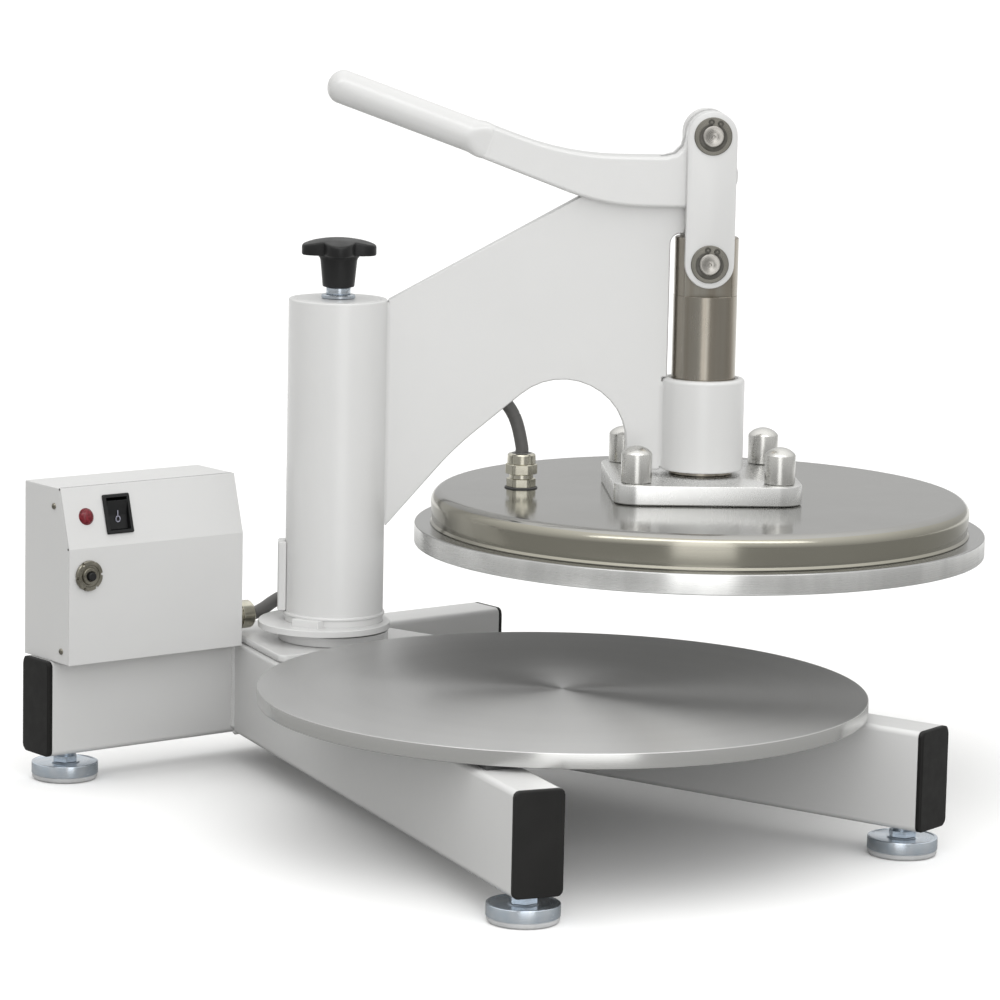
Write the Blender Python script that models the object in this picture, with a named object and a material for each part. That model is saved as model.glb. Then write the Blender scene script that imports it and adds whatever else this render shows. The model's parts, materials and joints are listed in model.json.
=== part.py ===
"""Swing-away hand press that flattens dough between two round platens.

The frame stands on four levelling feet.  A column swings on a fixed post and carries an arm,
whose handle turns over the front and drives the heated upper platen down through two links.
World +Z is up, the lower platen lies towards -Y and the cross tube runs along X.
"""

import math

import bmesh
import bpy
from mathutils import Vector

# Clearances shared by all pieces
TOUCH_GAP = 0.0003
OVERRUN = 0.004

# Frame tubes
TUBE_HEIGHT = 0.0762
TUBE_WIDTH = 0.0381
TUBE_WALL = 0.0032
TUBE_CORNER = 0.0045
CROSS_LEFT_REACH = 0.2305
CROSS_RIGHT_REACH = 0.2214
CROSS_SETBACK = 0.0799
LEG_SPREAD = 0.0295
LEG_ANGLE = math.radians(15.2)
LEG_REACH = 0.6015
CAP_THICKNESS = 0.004
CAP_PLUG_DEPTH = 0.012
CAP_ROUNDING = 0.0014

# Levelling feet
FOOT_INSET_CROSS = 0.028
FOOT_INSET_LEG = 0.026
PAD_RING_RADIUS = 0.0262
PAD_RING_HEIGHT = 0.003
PAD_RING_STEP = 0.001
PAD_TOP = 0.0135
PAD_ROUNDING = 0.0014
STEM_RADIUS = 0.0075
STEM_SPIGOT_RADIUS = 0.005
STEM_SPIGOT_DEPTH = 0.005
STEM_INSIDE_TUBE = 0.022
STEM_HEX_RADIUS = 0.0104
STEM_HEX_HEIGHT = 0.0045
STEM_EXPOSED = 0.0086

# Base plate, post and lower platen
BASE_PLATE_THICKNESS = 0.006
BASE_PLATE_FRONT = 0.040
BASE_PLATE_INSET = 0.002
BASE_PLATE_CORNER = 0.006
POST_RADIUS = 0.031
POST_WALL = 0.005
POST_TOP_THICKNESS = 0.010
POST_COLLAR_RIM = 0.013
POST_COLLAR_HEIGHT = 0.0075
PLATEN_RADIUS = 0.2286
PLATEN_COLUMN_SPACE = 0.0242
LOWER_PLATEN_THICKNESS = 0.0115
LOWER_PLATEN_CHAMFER = 0.0008
STRIP_THICKNESS = 0.003
STRIP_WIDTH = 0.024
STRIP_LENGTH = 0.295

# Control box
BOX_INSET = 0.0050
BOX_LEG_SPACE = 0.0020
BOX_OVERHANG = 0.0236
BOX_DEPTH = 0.0650
BOX_HEIGHT = 0.138
BOX_SLOPE_HEIGHT = 0.0465
BOX_LEAN = 0.0135
BOX_SHEET = 0.0016
LAMP_INSET = 0.0195
LAMP_ALONG_SHARE = 0.502
LAMP_RADIUS = 0.0066
LAMP_DOME = 0.0035
LAMP_NECK_RADIUS = 0.0048
LAMP_NECK_LENGTH = 0.014
SWITCH_INSET = 0.0483
SWITCH_ALONG_SHARE = 0.510
SWITCH_WIDTH = 0.0246
SWITCH_HEIGHT = 0.0313
SWITCH_RIM = 0.0018
SWITCH_BORDER = 0.0030
SWITCH_DEPTH = 0.016
SWITCH_WALL = 0.0013
SWITCH_CORNER = 0.0012
ROCKER_TILT = math.radians(11)
ROCKER_PIVOT_DEPTH = 0.0045
ROCKER_RISE = 0.0052
ROCKER_END_GAP = 0.0013
ROCKER_DISH = 0.0012
ROCKER_DEPTH = 0.0060
BREAKER_INSET = 0.0173
BREAKER_DROP = 0.0215
BREAKER_NUT_RADIUS = 0.012
BREAKER_NUT_THICKNESS = 0.0028
BREAKER_COLLAR_RADIUS = 0.0068
BREAKER_COLLAR_HEIGHT = 0.0046
BREAKER_NECK_RADIUS = 0.0058
BREAKER_NECK_LENGTH = 0.018
BUTTON_RADIUS = 0.0034
BUTTON_RISE = 0.0026
BUTTON_LENGTH = 0.014
BOX_GLAND_INSET = 0.0435
BOX_GLAND_HEIGHT = 0.0205
MAINS_GLAND_INSET = 0.0555
MAINS_GLAND_HEIGHT = 0.035

# Cable glands and leads
LEAD_RADIUS = 0.00525
GLAND_NECK_RADIUS = 0.0078
GLAND_NECK_LENGTH = 0.008
GLAND_WASHER_RADIUS = 0.0140
GLAND_WASHER_THICKNESS = 0.0012
GLAND_HEX_RADIUS = 0.0127
GLAND_HEX_LENGTH = 0.0080
GLAND_WAIST_RADIUS = 0.0098
GLAND_WAIST_LENGTH = 0.0016
GLAND_NUT_RADIUS = 0.0114
GLAND_NUT_LENGTH = 0.0170
GLAND_NUT_CHAMFER = 0.0016
MAINS_NUT_LENGTH = 0.012

# Column and its bearing
ARM_REST_SWING = math.radians(-34.8)
BUSH_WALL = 0.0027
COLUMN_WALL = 0.005
COLLAR_RUNNING_SPACE = 0.0021
COLUMN_LENGTH = 0.264
COLUMN_CAP_THICKNESS = 0.006
COLUMN_CAP_ROUNDING = 0.0012
BUSH_START = 0.004
BUSH_TOP_SPACE = 0.002
FLANGE_RIM = 0.0136
FLANGE_OFFSET = 0.0077
FLANGE_THICKNESS = 0.0055
FLANGE_ROUNDING = 0.0010
COVER_WIDTH = 0.020
COVER_DEPTH = 0.0056
COVER_BASE = 0.0135
COVER_LENGTH = 0.0560
COVER_ROUNDING = 0.0012
LUG_WIDTH = 0.0245
LUG_DEPTH = 0.0070
LUG_RISE = 0.0062
LUG_ANGLE = math.radians(-121)
LUG_ROUNDING = 0.0010
BASE_LEAD_HOLE_RISE = 0.0205
BASE_LEAD_HOLE_ANGLE = math.radians(60)
PLATEN_LEAD_HOLE_DROP = 0.0605
PLATEN_LEAD_HOLE_ANGLE = math.radians(25)
LEAD_HOLE_RADIUS = 0.0057

# Thickness adjuster on the column top
ADJUSTER_RADIUS = 0.009
ADJUSTER_NUT_RADIUS = 0.0135
ADJUSTER_NUT_THICKNESS = 0.0030
KNOB_HUB_RADIUS = 0.0130
KNOB_HUB_RISE = 0.0092
KNOB_WING_RISE = 0.0325
KNOB_WING_THICKNESS = 0.0100
KNOB_CROWN = 0.0058
KNOB_WING_RADIUS = 0.0306
KNOB_VALLEY_RADIUS = 0.0215
KNOB_LOBES = 5
KNOB_TURN = math.radians(90)
KNOB_SOCKET_DEPTH = 0.012

# Arm plate and its sleeve
ARM_THICKNESS = 0.0127
ARM_EDGE = 0.0010
ARM_TIP_RISE = 0.0822
ARM_UNDERSIDE_RUN = 0.0547
ARM_UNDERSIDE_RISE = 0.0638
ARM_UNDERSIDE_BEND_RADIUS = 0.250
ARM_ARCH_SLOPE = math.radians(40)
ARM_ARCH_RADIUS_SHARE = 0.376
ARM_TAIL_SETBACK = 0.0606
ARM_TAIL_DROP = 0.0005
ARM_TAIL_CORNER = 0.002
ARM_NOTCH_SIDE_SPACE = 0.0042
ARM_NOTCH_TOP_SPACE = 0.0025
ARM_NOTCH_CORNER = 0.008
ARM_NECK_PIN_SPACE = 0.0065
ARM_NECK_SETBACK = 0.0361
ARM_PEAK_SETBACK = 0.0978
ARM_PEAK_RISE = 0.0095
ARM_PEAK_RADIUS = 0.006
ARM_TOP_DROP = 0.0005
BOSS_PIN_SPACE = 0.0005
BOSS_FRONT_ANGLE = math.radians(-128)
BOSS_BACK_ANGLE = math.radians(150)
SLEEVE_WALL = 0.0052
GUIDE_WALL = 0.0022
SLEEVE_SPACE = 0.0034
SLEEVE_LENGTH = 0.0736
SLEEVE_TOP_CHAMFER = 0.0028
SLEEVE_BASE_CHAMFER = 0.0020
GUIDE_RUNNING_GAP = 0.0003

# Crank, links and handle
LINK_SLEEVE_SPACE = 0.0104
CRANK_RADIUS = 0.0315
PIVOT_PIN_RADIUS = 0.0085
CRANK_PIN_RADIUS = 0.0125
FORK_THICKNESS = 0.034
FORK_EDGE = 0.0030
FORK_SLOT_SIDE_GAP = 0.0004
FORK_SLOT_END_SPACE = 0.0029
FORK_POCKET_END_SPACE = 0.0075
FORK_POCKET_TOP_SPACE = 0.0030
FORK_HUB_RIM = 0.0025
FORK_UNDERSIDE_DROP = 0.0040
FORK_TOP = 0.0140
FORK_TOP_BEND_REACH = 0.1117
FORK_TOP_BEND_RADIUS = 0.230
FORK_UNDERSIDE_BEND_REACH = 0.083
FORK_UNDERSIDE_BEND_RADIUS = 0.180
FORK_EAR_STRAIGHT = 0.0015
FORK_HEEL_REACH = 0.012
FORK_HEEL_RADIUS = 0.008
GRIP_JOINT_REACH = 0.178
GRIP_JOINT_RISE = 0.0236
GRIP_ANGLE = math.radians(19.6)
GRIP_RADIUS = 0.01335
GRIP_LENGTH = 0.1232
GRIP_DOME = 0.009
GRIP_SPIGOT_STEP = 0.00485
GRIP_SPIGOT_LENGTH = 0.020
LINK_SPAN = 0.101
LINK_EYE_WALL = 0.007
LINK_THICKNESS = 0.008
LINK_EDGE = 0.0008
LINK_SIDE_GAP = 0.0003
LINK_LAG_SHARE = 0.211
PIN_RING_STEP = 0.0033
PIN_RING_THICKNESS = 0.0016
PIN_PROTRUSION = 0.0036
PIN_CHAMFER = 0.0010

# Plunger and upper platen
PLUNGER_RADIUS = 0.0254
PLUNGER_HEAD = 0.0198
PLUNGER_CHAMFER = 0.0010
MOUNT_SIDE = 0.150
MOUNT_CORNER = 0.020
MOUNT_THICKNESS = 0.016
MOUNT_EDGE = 0.0015
MOUNT_POST_INSET = 0.0182
MOUNT_POST_RADIUS = 0.0122
MOUNT_POST_HEIGHT = 0.029
MOUNT_POST_CROWN = 0.0035
MOUNT_STUD_RADIUS = 0.006
PRESSED_GAP = 0.0064
UPPER_PLATEN_THICKNESS = 0.0163
UPPER_PLATEN_CHAMFER = 0.0012
PAN_INSET = 0.0126
PAN_HEIGHT = 0.0269
PAN_EDGE_RADIUS = 0.015
PAN_SHEET = 0.0015
HEATER_INSET = 0.0160
HEATER_TOP_SPACE = 0.0085
PLATEN_GLAND_INSET = 0.0732
PLATEN_GLAND_SIDE = 0.016

# Numbers of sides on round pieces
LARGE_ROUND = 64
MEDIUM_ROUND = 32
FOOT_ROUND = 24
SMALL_ROUND = 18
PIN_ROUND = 20
STEM_ROUND = 12
CORNER_STEPS = 3
BEND_STEPS = 6
PAN_EDGE_STEPS = 4
PAN_INNER_STEPS = 2

# Derived sizes
PAD_DISC_RADIUS = PAD_RING_RADIUS - PAD_RING_STEP
POST_BORE = POST_RADIUS - POST_WALL
POST_COLLAR_RADIUS = POST_RADIUS + POST_COLLAR_RIM
COLUMN_BORE = POST_RADIUS + TOUCH_GAP + BUSH_WALL + TOUCH_GAP
COLUMN_RADIUS = COLUMN_BORE + COLUMN_WALL
FLANGE_RADIUS = COLUMN_RADIUS + FLANGE_RIM
PLATEN_REACH = COLUMN_RADIUS + PLATEN_COLUMN_SPACE + PLATEN_RADIUS
PAN_RADIUS = PLATEN_RADIUS - PAN_INSET
HEATER_RADIUS = PAN_RADIUS - HEATER_INSET
SLEEVE_BORE = PLUNGER_RADIUS + GUIDE_RUNNING_GAP + GUIDE_WALL + TOUCH_GAP
SLEEVE_RADIUS = SLEEVE_BORE + SLEEVE_WALL
LINK_HALF_WIDTH = CRANK_PIN_RADIUS + LINK_EYE_WALL
PIN_RING_RADIUS = CRANK_PIN_RADIUS + PIN_RING_STEP
BOSS_RADIUS = CRANK_RADIUS - CRANK_PIN_RADIUS - BOSS_PIN_SPACE
STROKE = 2 * CRANK_RADIUS
PLUNGER_FLAT_DROP = LINK_HALF_WIDTH + LINK_LAG_SHARE * CRANK_RADIUS + TOUCH_GAP
FORK_HUB_RADIUS = LINK_HALF_WIDTH + FORK_HUB_RIM
FORK_UNDERSIDE = FORK_HUB_RADIUS + FORK_UNDERSIDE_DROP
FORK_EAR_FILLET = CRANK_RADIUS - FORK_TOP - FORK_EAR_STRAIGHT
FORK_SLOT_REACH = ARM_NECK_SETBACK + FORK_SLOT_END_SPACE
FORK_POCKET_REACH = ARM_PEAK_SETBACK + FORK_POCKET_END_SPACE
FORK_POCKET_TOP = ARM_PEAK_RISE + FORK_POCKET_TOP_SPACE - FORK_UNDERSIDE
FORK_HALF = FORK_THICKNESS / 2
GRIP_SPIGOT_RADIUS = GRIP_RADIUS - GRIP_SPIGOT_STEP
LINK_INNER = FORK_HALF + LINK_SIDE_GAP
LINK_OUTER = LINK_INNER + LINK_THICKNESS
PIN_END = LINK_OUTER + PIN_PROTRUSION
MOUNT_POST_OFFSET = MOUNT_SIDE / 2 - MOUNT_POST_INSET

# Heights of the frame, the column and the platens, from the floor up
TUBE_LIFT = PAD_TOP + STEM_EXPOSED
TUBE_TOP = TUBE_LIFT + TUBE_HEIGHT
BASE_PLATE_BOTTOM = TUBE_TOP + TOUCH_GAP
BASE_PLATE_TOP = BASE_PLATE_BOTTOM + BASE_PLATE_THICKNESS
POST_BOTTOM = BASE_PLATE_TOP + TOUCH_GAP
COLUMN_BASE = POST_BOTTOM + POST_COLLAR_HEIGHT + COLLAR_RUNNING_SPACE
COLUMN_TOP = COLUMN_BASE + COLUMN_LENGTH
COLUMN_TUBE_TOP = COLUMN_TOP - COLUMN_CAP_THICKNESS - TOUCH_GAP
BUSH_TOP = COLUMN_TUBE_TOP - BUSH_TOP_SPACE
POST_TOP = BUSH_TOP
ADJUSTER_NUT_BASE = COLUMN_TOP + TOUCH_GAP
KNOB_BASE = COLUMN_TOP + KNOB_HUB_RISE
BASE_LEAD_HOLE_HEIGHT = COLUMN_BASE + BASE_LEAD_HOLE_RISE
PLATEN_LEAD_HOLE_HEIGHT = COLUMN_TOP - PLATEN_LEAD_HOLE_DROP
PLATEN_BOTTOM = BASE_PLATE_BOTTOM + STRIP_THICKNESS + TOUCH_GAP
PLATEN_TOP = PLATEN_BOTTOM + LOWER_PLATEN_THICKNESS
UPPER_PLATEN_BASE = PLATEN_TOP + PRESSED_GAP + STROKE
UPPER_PLATEN_TOP = UPPER_PLATEN_BASE + UPPER_PLATEN_THICKNESS
PAN_TOP = UPPER_PLATEN_TOP + PAN_HEIGHT
MOUNT_BOTTOM = PAN_TOP + TOUCH_GAP
MOUNT_TOP = MOUNT_BOTTOM + MOUNT_THICKNESS
PLUNGER_BASE = MOUNT_TOP + TOUCH_GAP
SLEEVE_BASE = MOUNT_TOP + SLEEVE_SPACE
SLEEVE_TOP = SLEEVE_BASE + SLEEVE_LENGTH
LOWER_PIN_HEIGHT = SLEEVE_TOP + LINK_SLEEVE_SPACE + LINK_HALF_WIDTH + STROKE
PLUNGER_TOP = LOWER_PIN_HEIGHT + PLUNGER_HEAD
PLUNGER_FLAT_START = LOWER_PIN_HEIGHT - PLUNGER_FLAT_DROP
CRANK_HEIGHT = LOWER_PIN_HEIGHT + LINK_SPAN
PIVOT_HEIGHT = CRANK_HEIGHT - CRANK_RADIUS

# Places of the control box and its fittings
BOX_LEFT = CROSS_LEFT_REACH - BOX_INSET
BOX_BACK = CROSS_SETBACK + BOX_OVERHANG
BOX_FRONT = BOX_BACK - BOX_DEPTH
LEG_HALF = TUBE_WIDTH / 2 / math.cos(LEG_ANGLE)
BOX_RIGHT = LEG_SPREAD + (CROSS_SETBACK - BOX_FRONT) * math.tan(LEG_ANGLE) + LEG_HALF + BOX_LEG_SPACE
BOX_BASE = TUBE_TOP + TOUCH_GAP
BOX_FOLD_HEIGHT = BOX_HEIGHT - BOX_SLOPE_HEIGHT
BOX_LEAN_ANGLE = math.atan2(BOX_LEAN, BOX_SLOPE_HEIGHT)
BOX_SLOPE_LENGTH = math.hypot(BOX_LEAN, BOX_SLOPE_HEIGHT)
LAMP_X = LAMP_INSET - BOX_LEFT
LAMP_ALONG = LAMP_ALONG_SHARE * BOX_SLOPE_LENGTH
SWITCH_X = SWITCH_INSET - BOX_LEFT
SWITCH_ALONG = SWITCH_ALONG_SHARE * BOX_SLOPE_LENGTH
BREAKER_X = BREAKER_INSET - BOX_LEFT
BREAKER_HEIGHT = BOX_FOLD_HEIGHT - BREAKER_DROP
BOX_GLAND_Y = BOX_BACK - BOX_GLAND_INSET
MAINS_GLAND_X = MAINS_GLAND_INSET - BOX_LEFT
PLATEN_GLAND_REACH = PLATEN_REACH - PAN_RADIUS + PLATEN_GLAND_INSET

# Places on the arm plate's outline
ARM_TIP_HEIGHT = COLUMN_BASE + ARM_TIP_RISE
ARM_UNDERSIDE_BEND_REACH = COLUMN_RADIUS + ARM_UNDERSIDE_RUN
ARM_UNDERSIDE_BEND_HEIGHT = ARM_TIP_HEIGHT + ARM_UNDERSIDE_RISE
ARM_TAIL_REACH = PLATEN_REACH - ARM_TAIL_SETBACK
ARM_TAIL_HEIGHT = SLEEVE_BASE - ARM_TAIL_DROP
ARM_ARCH_RADIUS = ARM_ARCH_RADIUS_SHARE * (ARM_TAIL_REACH - ARM_UNDERSIDE_BEND_REACH)
ARM_NOTCH_REACH = PLATEN_REACH - PLUNGER_RADIUS - ARM_NOTCH_SIDE_SPACE
ARM_NOTCH_TOP = PLUNGER_TOP + ARM_NOTCH_TOP_SPACE
ARM_NECK_FRONT = PLATEN_REACH - CRANK_PIN_RADIUS - ARM_NECK_PIN_SPACE
ARM_NECK_BACK = PLATEN_REACH - ARM_NECK_SETBACK
ARM_PEAK_REACH = PLATEN_REACH - ARM_PEAK_SETBACK
ARM_PEAK_HEIGHT = PIVOT_HEIGHT - FORK_UNDERSIDE + ARM_PEAK_RISE
ARM_TOP_AT_COLUMN = COLUMN_TOP - ARM_TOP_DROP

# Outline points of the rocker and the knob, as shares of their sizes
ROCKER_TAPER_SHARE = 0.78

# Route of the lead from the box to the column: X and Y as shares of the gland's distance behind the
# column axis, and height as a share of the rise from the gland to the column's hole
BASE_LEAD_ROUTE_SHARES = (
    (-0.425, 1.020, 0.17), (-0.267, 1.067, 0.37), (-0.083, 1.113, 0.56), (0.167, 1.163, 0.78),
    (0.433, 1.187, 0.92), (0.683, 1.150, 0.99), (0.883, 1.025, 1.00), (1.000, 0.842, 1.00),
    (1.013, 0.642, 1.00), (0.925, 0.467, 1.00), (0.783, 0.368, 1.00),
)

# Route of the lead from the column to the platen's gland: share of the reach between them, sideways
# offset as a share of the gland's own, and share of the height between them
PLATEN_LEAD_ROUTE_SHARES = (
    (0.118, 1.344, 1.016), (0.247, 1.563, 1.024), (0.402, 1.469, 1.016), (0.558, 1.219, 0.969),
    (0.696, 1.050, 0.882), (0.816, 1.000, 0.749), (0.907, 1.000, 0.576), (0.963, 1.000, 0.372),
)


def clear_scene():
    for item in list(bpy.data.objects):
        bpy.data.objects.remove(item, do_unlink=True)


def material(name, color, roughness, metallic=0.0):
    made = bpy.data.materials.new(name)
    made.use_nodes = True
    shader = made.node_tree.nodes["Principled BSDF"]
    shader.inputs["Base Color"].default_value = (*color, 1.0)
    shader.inputs["Roughness"].default_value = roughness
    shader.inputs["Metallic"].default_value = metallic
    made.diffuse_color = (*color, 1.0)
    return made


def empty(name, parent=None, location=(0, 0, 0), rotation=(0, 0, 0)):
    made = bpy.data.objects.new(name, None)
    bpy.context.scene.collection.objects.link(made)
    made.parent = parent
    made.location = location
    made.rotation_euler = rotation
    return made


def place(name, mesh_builder, look, parent, location=(0, 0, 0), rotation=(0, 0, 0)):
    """Turn a bmesh into a named object under its parent."""
    bmesh.ops.recalc_face_normals(mesh_builder, faces=mesh_builder.faces)
    mesh = bpy.data.meshes.new(name)
    mesh_builder.to_mesh(mesh)
    mesh_builder.free()
    mesh.shade_smooth()
    mesh.set_sharp_from_angle(angle=math.radians(30))
    mesh.materials.append(look)
    made = bpy.data.objects.new(name, mesh)
    bpy.context.scene.collection.objects.link(made)
    made.parent = parent
    made.location = location
    made.rotation_euler = rotation
    return made


def combine(target, tool, operation):
    """Cut the tool from the target or join it on, and hide the tool."""
    tool.hide_render = True
    tool.display_type = "WIRE"
    step = target.modifiers.new(f"{operation.lower()}_{tool.name}", "BOOLEAN")
    step.operation = operation
    step.solver = "EXACT"
    step.object = tool
    return target


def chamfer(target, width, segments=1):
    step = target.modifiers.new("edges", "BEVEL")
    step.width = width
    step.segments = segments
    step.limit_method = "ANGLE"
    step.angle_limit = math.radians(40)
    return target


def loft(loops):
    """Skin a stack of loops of equal length and close both ends."""
    made = bmesh.new()
    rings = [[made.verts.new(point) for point in loop] for loop in loops]
    count = len(loops[0])
    for lower, upper in zip(rings, rings[1:]):
        for i in range(count):
            j = (i + 1) % count
            made.faces.new((lower[i], lower[j], upper[j], upper[i]))
    made.faces.new(list(reversed(rings[0])))
    made.faces.new(rings[-1])
    return made


def along_x(outline, x):
    return [Vector((x, a, b)) for a, b in outline]


def along_y(outline, y):
    return [Vector((a, y, b)) for a, b in outline]


def along_z(outline, z):
    return [Vector((a, b, z)) for a, b in outline]


def arc(center, radius, start, end, steps):
    """Points on a circle from one angle to the other."""
    angles = [start + (end - start) * i / steps for i in range(steps + 1)]
    return [(center[0] + radius * math.cos(a), center[1] + radius * math.sin(a)) for a in angles]


def circle(radius, sides, center=(0, 0)):
    return arc(center, radius, 0, math.tau, sides)[:-1]


def filleted(corners):
    """Points of a closed outline whose corners (x, y, radius, steps) are rounded."""
    points = []
    for i, (x, y, radius, steps) in enumerate(corners):
        here = Vector((x, y))
        if not radius:
            points.append((x, y))
            continue
        back = (Vector(corners[i - 1][:2]) - here).normalized()
        ahead = (Vector(corners[(i + 1) % len(corners)][:2]) - here).normalized()
        half = back.angle(ahead) / 2
        middle = here + (back + ahead).normalized() * radius / math.sin(half)
        first = here + back * radius / math.tan(half) - middle
        last = here + ahead * radius / math.tan(half) - middle
        turn = first.angle_signed(last)
        start = math.atan2(first.y, first.x)
        points.extend(arc(middle, radius, start, start - turn, steps))
    return points


def rounded_rectangle(width, height, radius, center=(0, 0)):
    x, y = width / 2, height / 2
    signs = ((1, -1), (1, 1), (-1, 1), (-1, -1))
    return filleted([(center[0] + x * a, center[1] + y * b, radius, CORNER_STEPS) for a, b in signs])


def turned(profile, sides):
    """Turn an outline of (radius, height) points about Z; points on the axis close the ends."""
    made = bmesh.new()
    rings = []
    for radius, height in profile:
        if radius == 0:
            rings.append([made.verts.new((0, 0, height))])
        else:
            rings.append([made.verts.new((x, y, height)) for x, y in circle(radius, sides)])
    pairs = list(zip(rings, rings[1:]))
    if len(rings[0]) > 1:
        pairs.append((rings[-1], rings[0]))
    for lower, upper in pairs:
        for i in range(sides):
            j = (i + 1) % sides
            if len(lower) == 1:
                made.faces.new((lower[0], upper[j], upper[i]))
            elif len(upper) == 1:
                made.faces.new((lower[i], lower[j], upper[0]))
            else:
                made.faces.new((lower[i], lower[j], upper[j], upper[i]))
    return made


def cylinder(radius, bottom, top, sides=SMALL_ROUND):
    return turned([(0, bottom), (radius, bottom), (radius, top), (0, top)], sides)


def block(size, center=(0, 0, 0)):
    made = bmesh.new()
    bmesh.ops.create_cube(made, size=1)
    bmesh.ops.scale(made, verts=made.verts, vec=size)
    bmesh.ops.translate(made, verts=made.verts, vec=center)
    return made


def hexagon(radius):
    return circle(radius, 6)


def build_looks():
    return {
        "paint": material("white_powder_coat", (0.80, 0.80, 0.79), 0.30),
        "machined": material("machined_aluminium", (0.60, 0.60, 0.60), 0.30, 1.0),
        "brushed": material("brushed_stainless", (0.50, 0.48, 0.45), 0.28, 1.0),
        "black": material("black_plastic", (0.02, 0.02, 0.02), 0.45),
        "zinc": material("zinc_plated_steel", (0.62, 0.66, 0.70), 0.28, 1.0),
        "steel": material("bare_steel", (0.42, 0.41, 0.39), 0.32, 1.0),
        "nickel": material("nickel_plated_brass", (0.55, 0.52, 0.44), 0.30, 1.0),
        "bronze": material("bearing_bronze", (0.55, 0.36, 0.16), 0.40, 1.0),
        "rubber": material("grey_lead_jacket", (0.10, 0.10, 0.10), 0.60),
        "red": material("red_lens", (0.55, 0.02, 0.03), 0.25),
        "pad": material("dark_rubber", (0.05, 0.05, 0.05), 0.70),
        "wool": material("heater_insulation", (0.72, 0.68, 0.58), 0.90),
    }


def beam(name, start, start_slope, end, look, parent, location, rotation):
    """Hollow rounded tube along local X with its underside at local height zero."""
    outer = rounded_rectangle(TUBE_WIDTH, TUBE_HEIGHT, TUBE_CORNER, (0, TUBE_HEIGHT / 2))
    bore_width = TUBE_WIDTH - 2 * TUBE_WALL
    bore_height = TUBE_HEIGHT - 2 * TUBE_WALL
    bore_corner = TUBE_CORNER - TUBE_WALL
    inner = rounded_rectangle(bore_width, bore_height, bore_corner, (0, TUBE_HEIGHT / 2))
    made = bmesh.new()
    rings = []
    for outline, at_end in ((outer, False), (outer, True), (inner, True), (inner, False)):
        x_of = (lambda side: end) if at_end else (lambda side: start + side * start_slope)
        rings.append([made.verts.new((x_of(a), a, b)) for a, b in outline])
    count = len(outer)
    for k, ring in enumerate(rings):
        following = rings[(k + 1) % len(rings)]
        for i in range(count):
            j = (i + 1) % count
            made.faces.new((ring[i], ring[j], following[j], following[i]))
    return place(name, made, look, parent, location, rotation)


def end_cap(name, look, parent, location, rotation):
    """Push-in tube plug whose outer face lies on local X zero and whose plug points to -X."""
    plug_width = TUBE_WIDTH - 2 * (TUBE_WALL + TOUCH_GAP)
    plug_height = TUBE_HEIGHT - 2 * (TUBE_WALL + TOUCH_GAP)
    plug_corner = TUBE_CORNER - TUBE_WALL
    plug = rounded_rectangle(plug_width, plug_height, plug_corner)
    face = rounded_rectangle(TUBE_WIDTH, TUBE_HEIGHT, TUBE_CORNER)
    narrow = rounded_rectangle(TUBE_WIDTH - 2 * CAP_ROUNDING, TUBE_HEIGHT - 2 * CAP_ROUNDING, TUBE_CORNER)
    seat = -CAP_THICKNESS
    made = loft([
        along_x(plug, seat - CAP_PLUG_DEPTH), along_x(plug, seat), along_x(face, seat),
        along_x(face, -CAP_ROUNDING), along_x(narrow, 0),
    ])
    return place(name, made, look, parent, location, rotation)


def foot(name, looks, parent, place_xy):
    """Levelling foot: a pad on the floor and a screwed stem into the tube above it."""
    socket_radius = STEM_SPIGOT_RADIUS + TOUCH_GAP
    socket_floor = PAD_TOP - STEM_SPIGOT_DEPTH - TOUCH_GAP
    pad = turned([
        (0, 0), (PAD_RING_RADIUS, 0), (PAD_RING_RADIUS, PAD_RING_HEIGHT), (PAD_DISC_RADIUS, PAD_RING_HEIGHT),
        (PAD_DISC_RADIUS, PAD_TOP - PAD_ROUNDING), (PAD_DISC_RADIUS - PAD_ROUNDING, PAD_TOP),
        (socket_radius, PAD_TOP), (socket_radius, socket_floor), (0, socket_floor),
    ], FOOT_ROUND)
    place(f"foot_pad_{name}", pad, looks["zinc"], parent, (*place_xy, 0))
    hex_base = PAD_TOP + TOUCH_GAP
    hex_top = hex_base + STEM_HEX_HEIGHT
    stem_top = TUBE_LIFT + STEM_INSIDE_TUBE
    stem = turned([
        (0, hex_base - STEM_SPIGOT_DEPTH), (STEM_SPIGOT_RADIUS, hex_base - STEM_SPIGOT_DEPTH),
        (STEM_SPIGOT_RADIUS, hex_base + STEM_HEX_HEIGHT / 2), (STEM_RADIUS, hex_base + STEM_HEX_HEIGHT / 2),
        (STEM_RADIUS, stem_top), (0, stem_top),
    ], STEM_ROUND)
    stem_object = place(f"foot_stem_{name}", stem, looks["zinc"], parent, (*place_xy, 0))
    hexes = loft([along_z(hexagon(STEM_HEX_RADIUS), hex_base), along_z(hexagon(STEM_HEX_RADIUS), hex_top)])
    nut = place(f"tool_hex_{name}", hexes, looks["zinc"], parent, (*place_xy, 0))
    combine(stem_object, nut, "UNION")


def stem_hole(beam_object, name, looks, parent, place_xy):
    top = TUBE_LIFT + TUBE_WALL + OVERRUN
    hole = cylinder(STEM_RADIUS + TOUCH_GAP, TUBE_LIFT - OVERRUN, top, STEM_ROUND)
    cutter = place(f"tool_hole_{name}", hole, looks["zinc"], parent, (*place_xy, 0))
    combine(beam_object, cutter, "DIFFERENCE")


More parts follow.
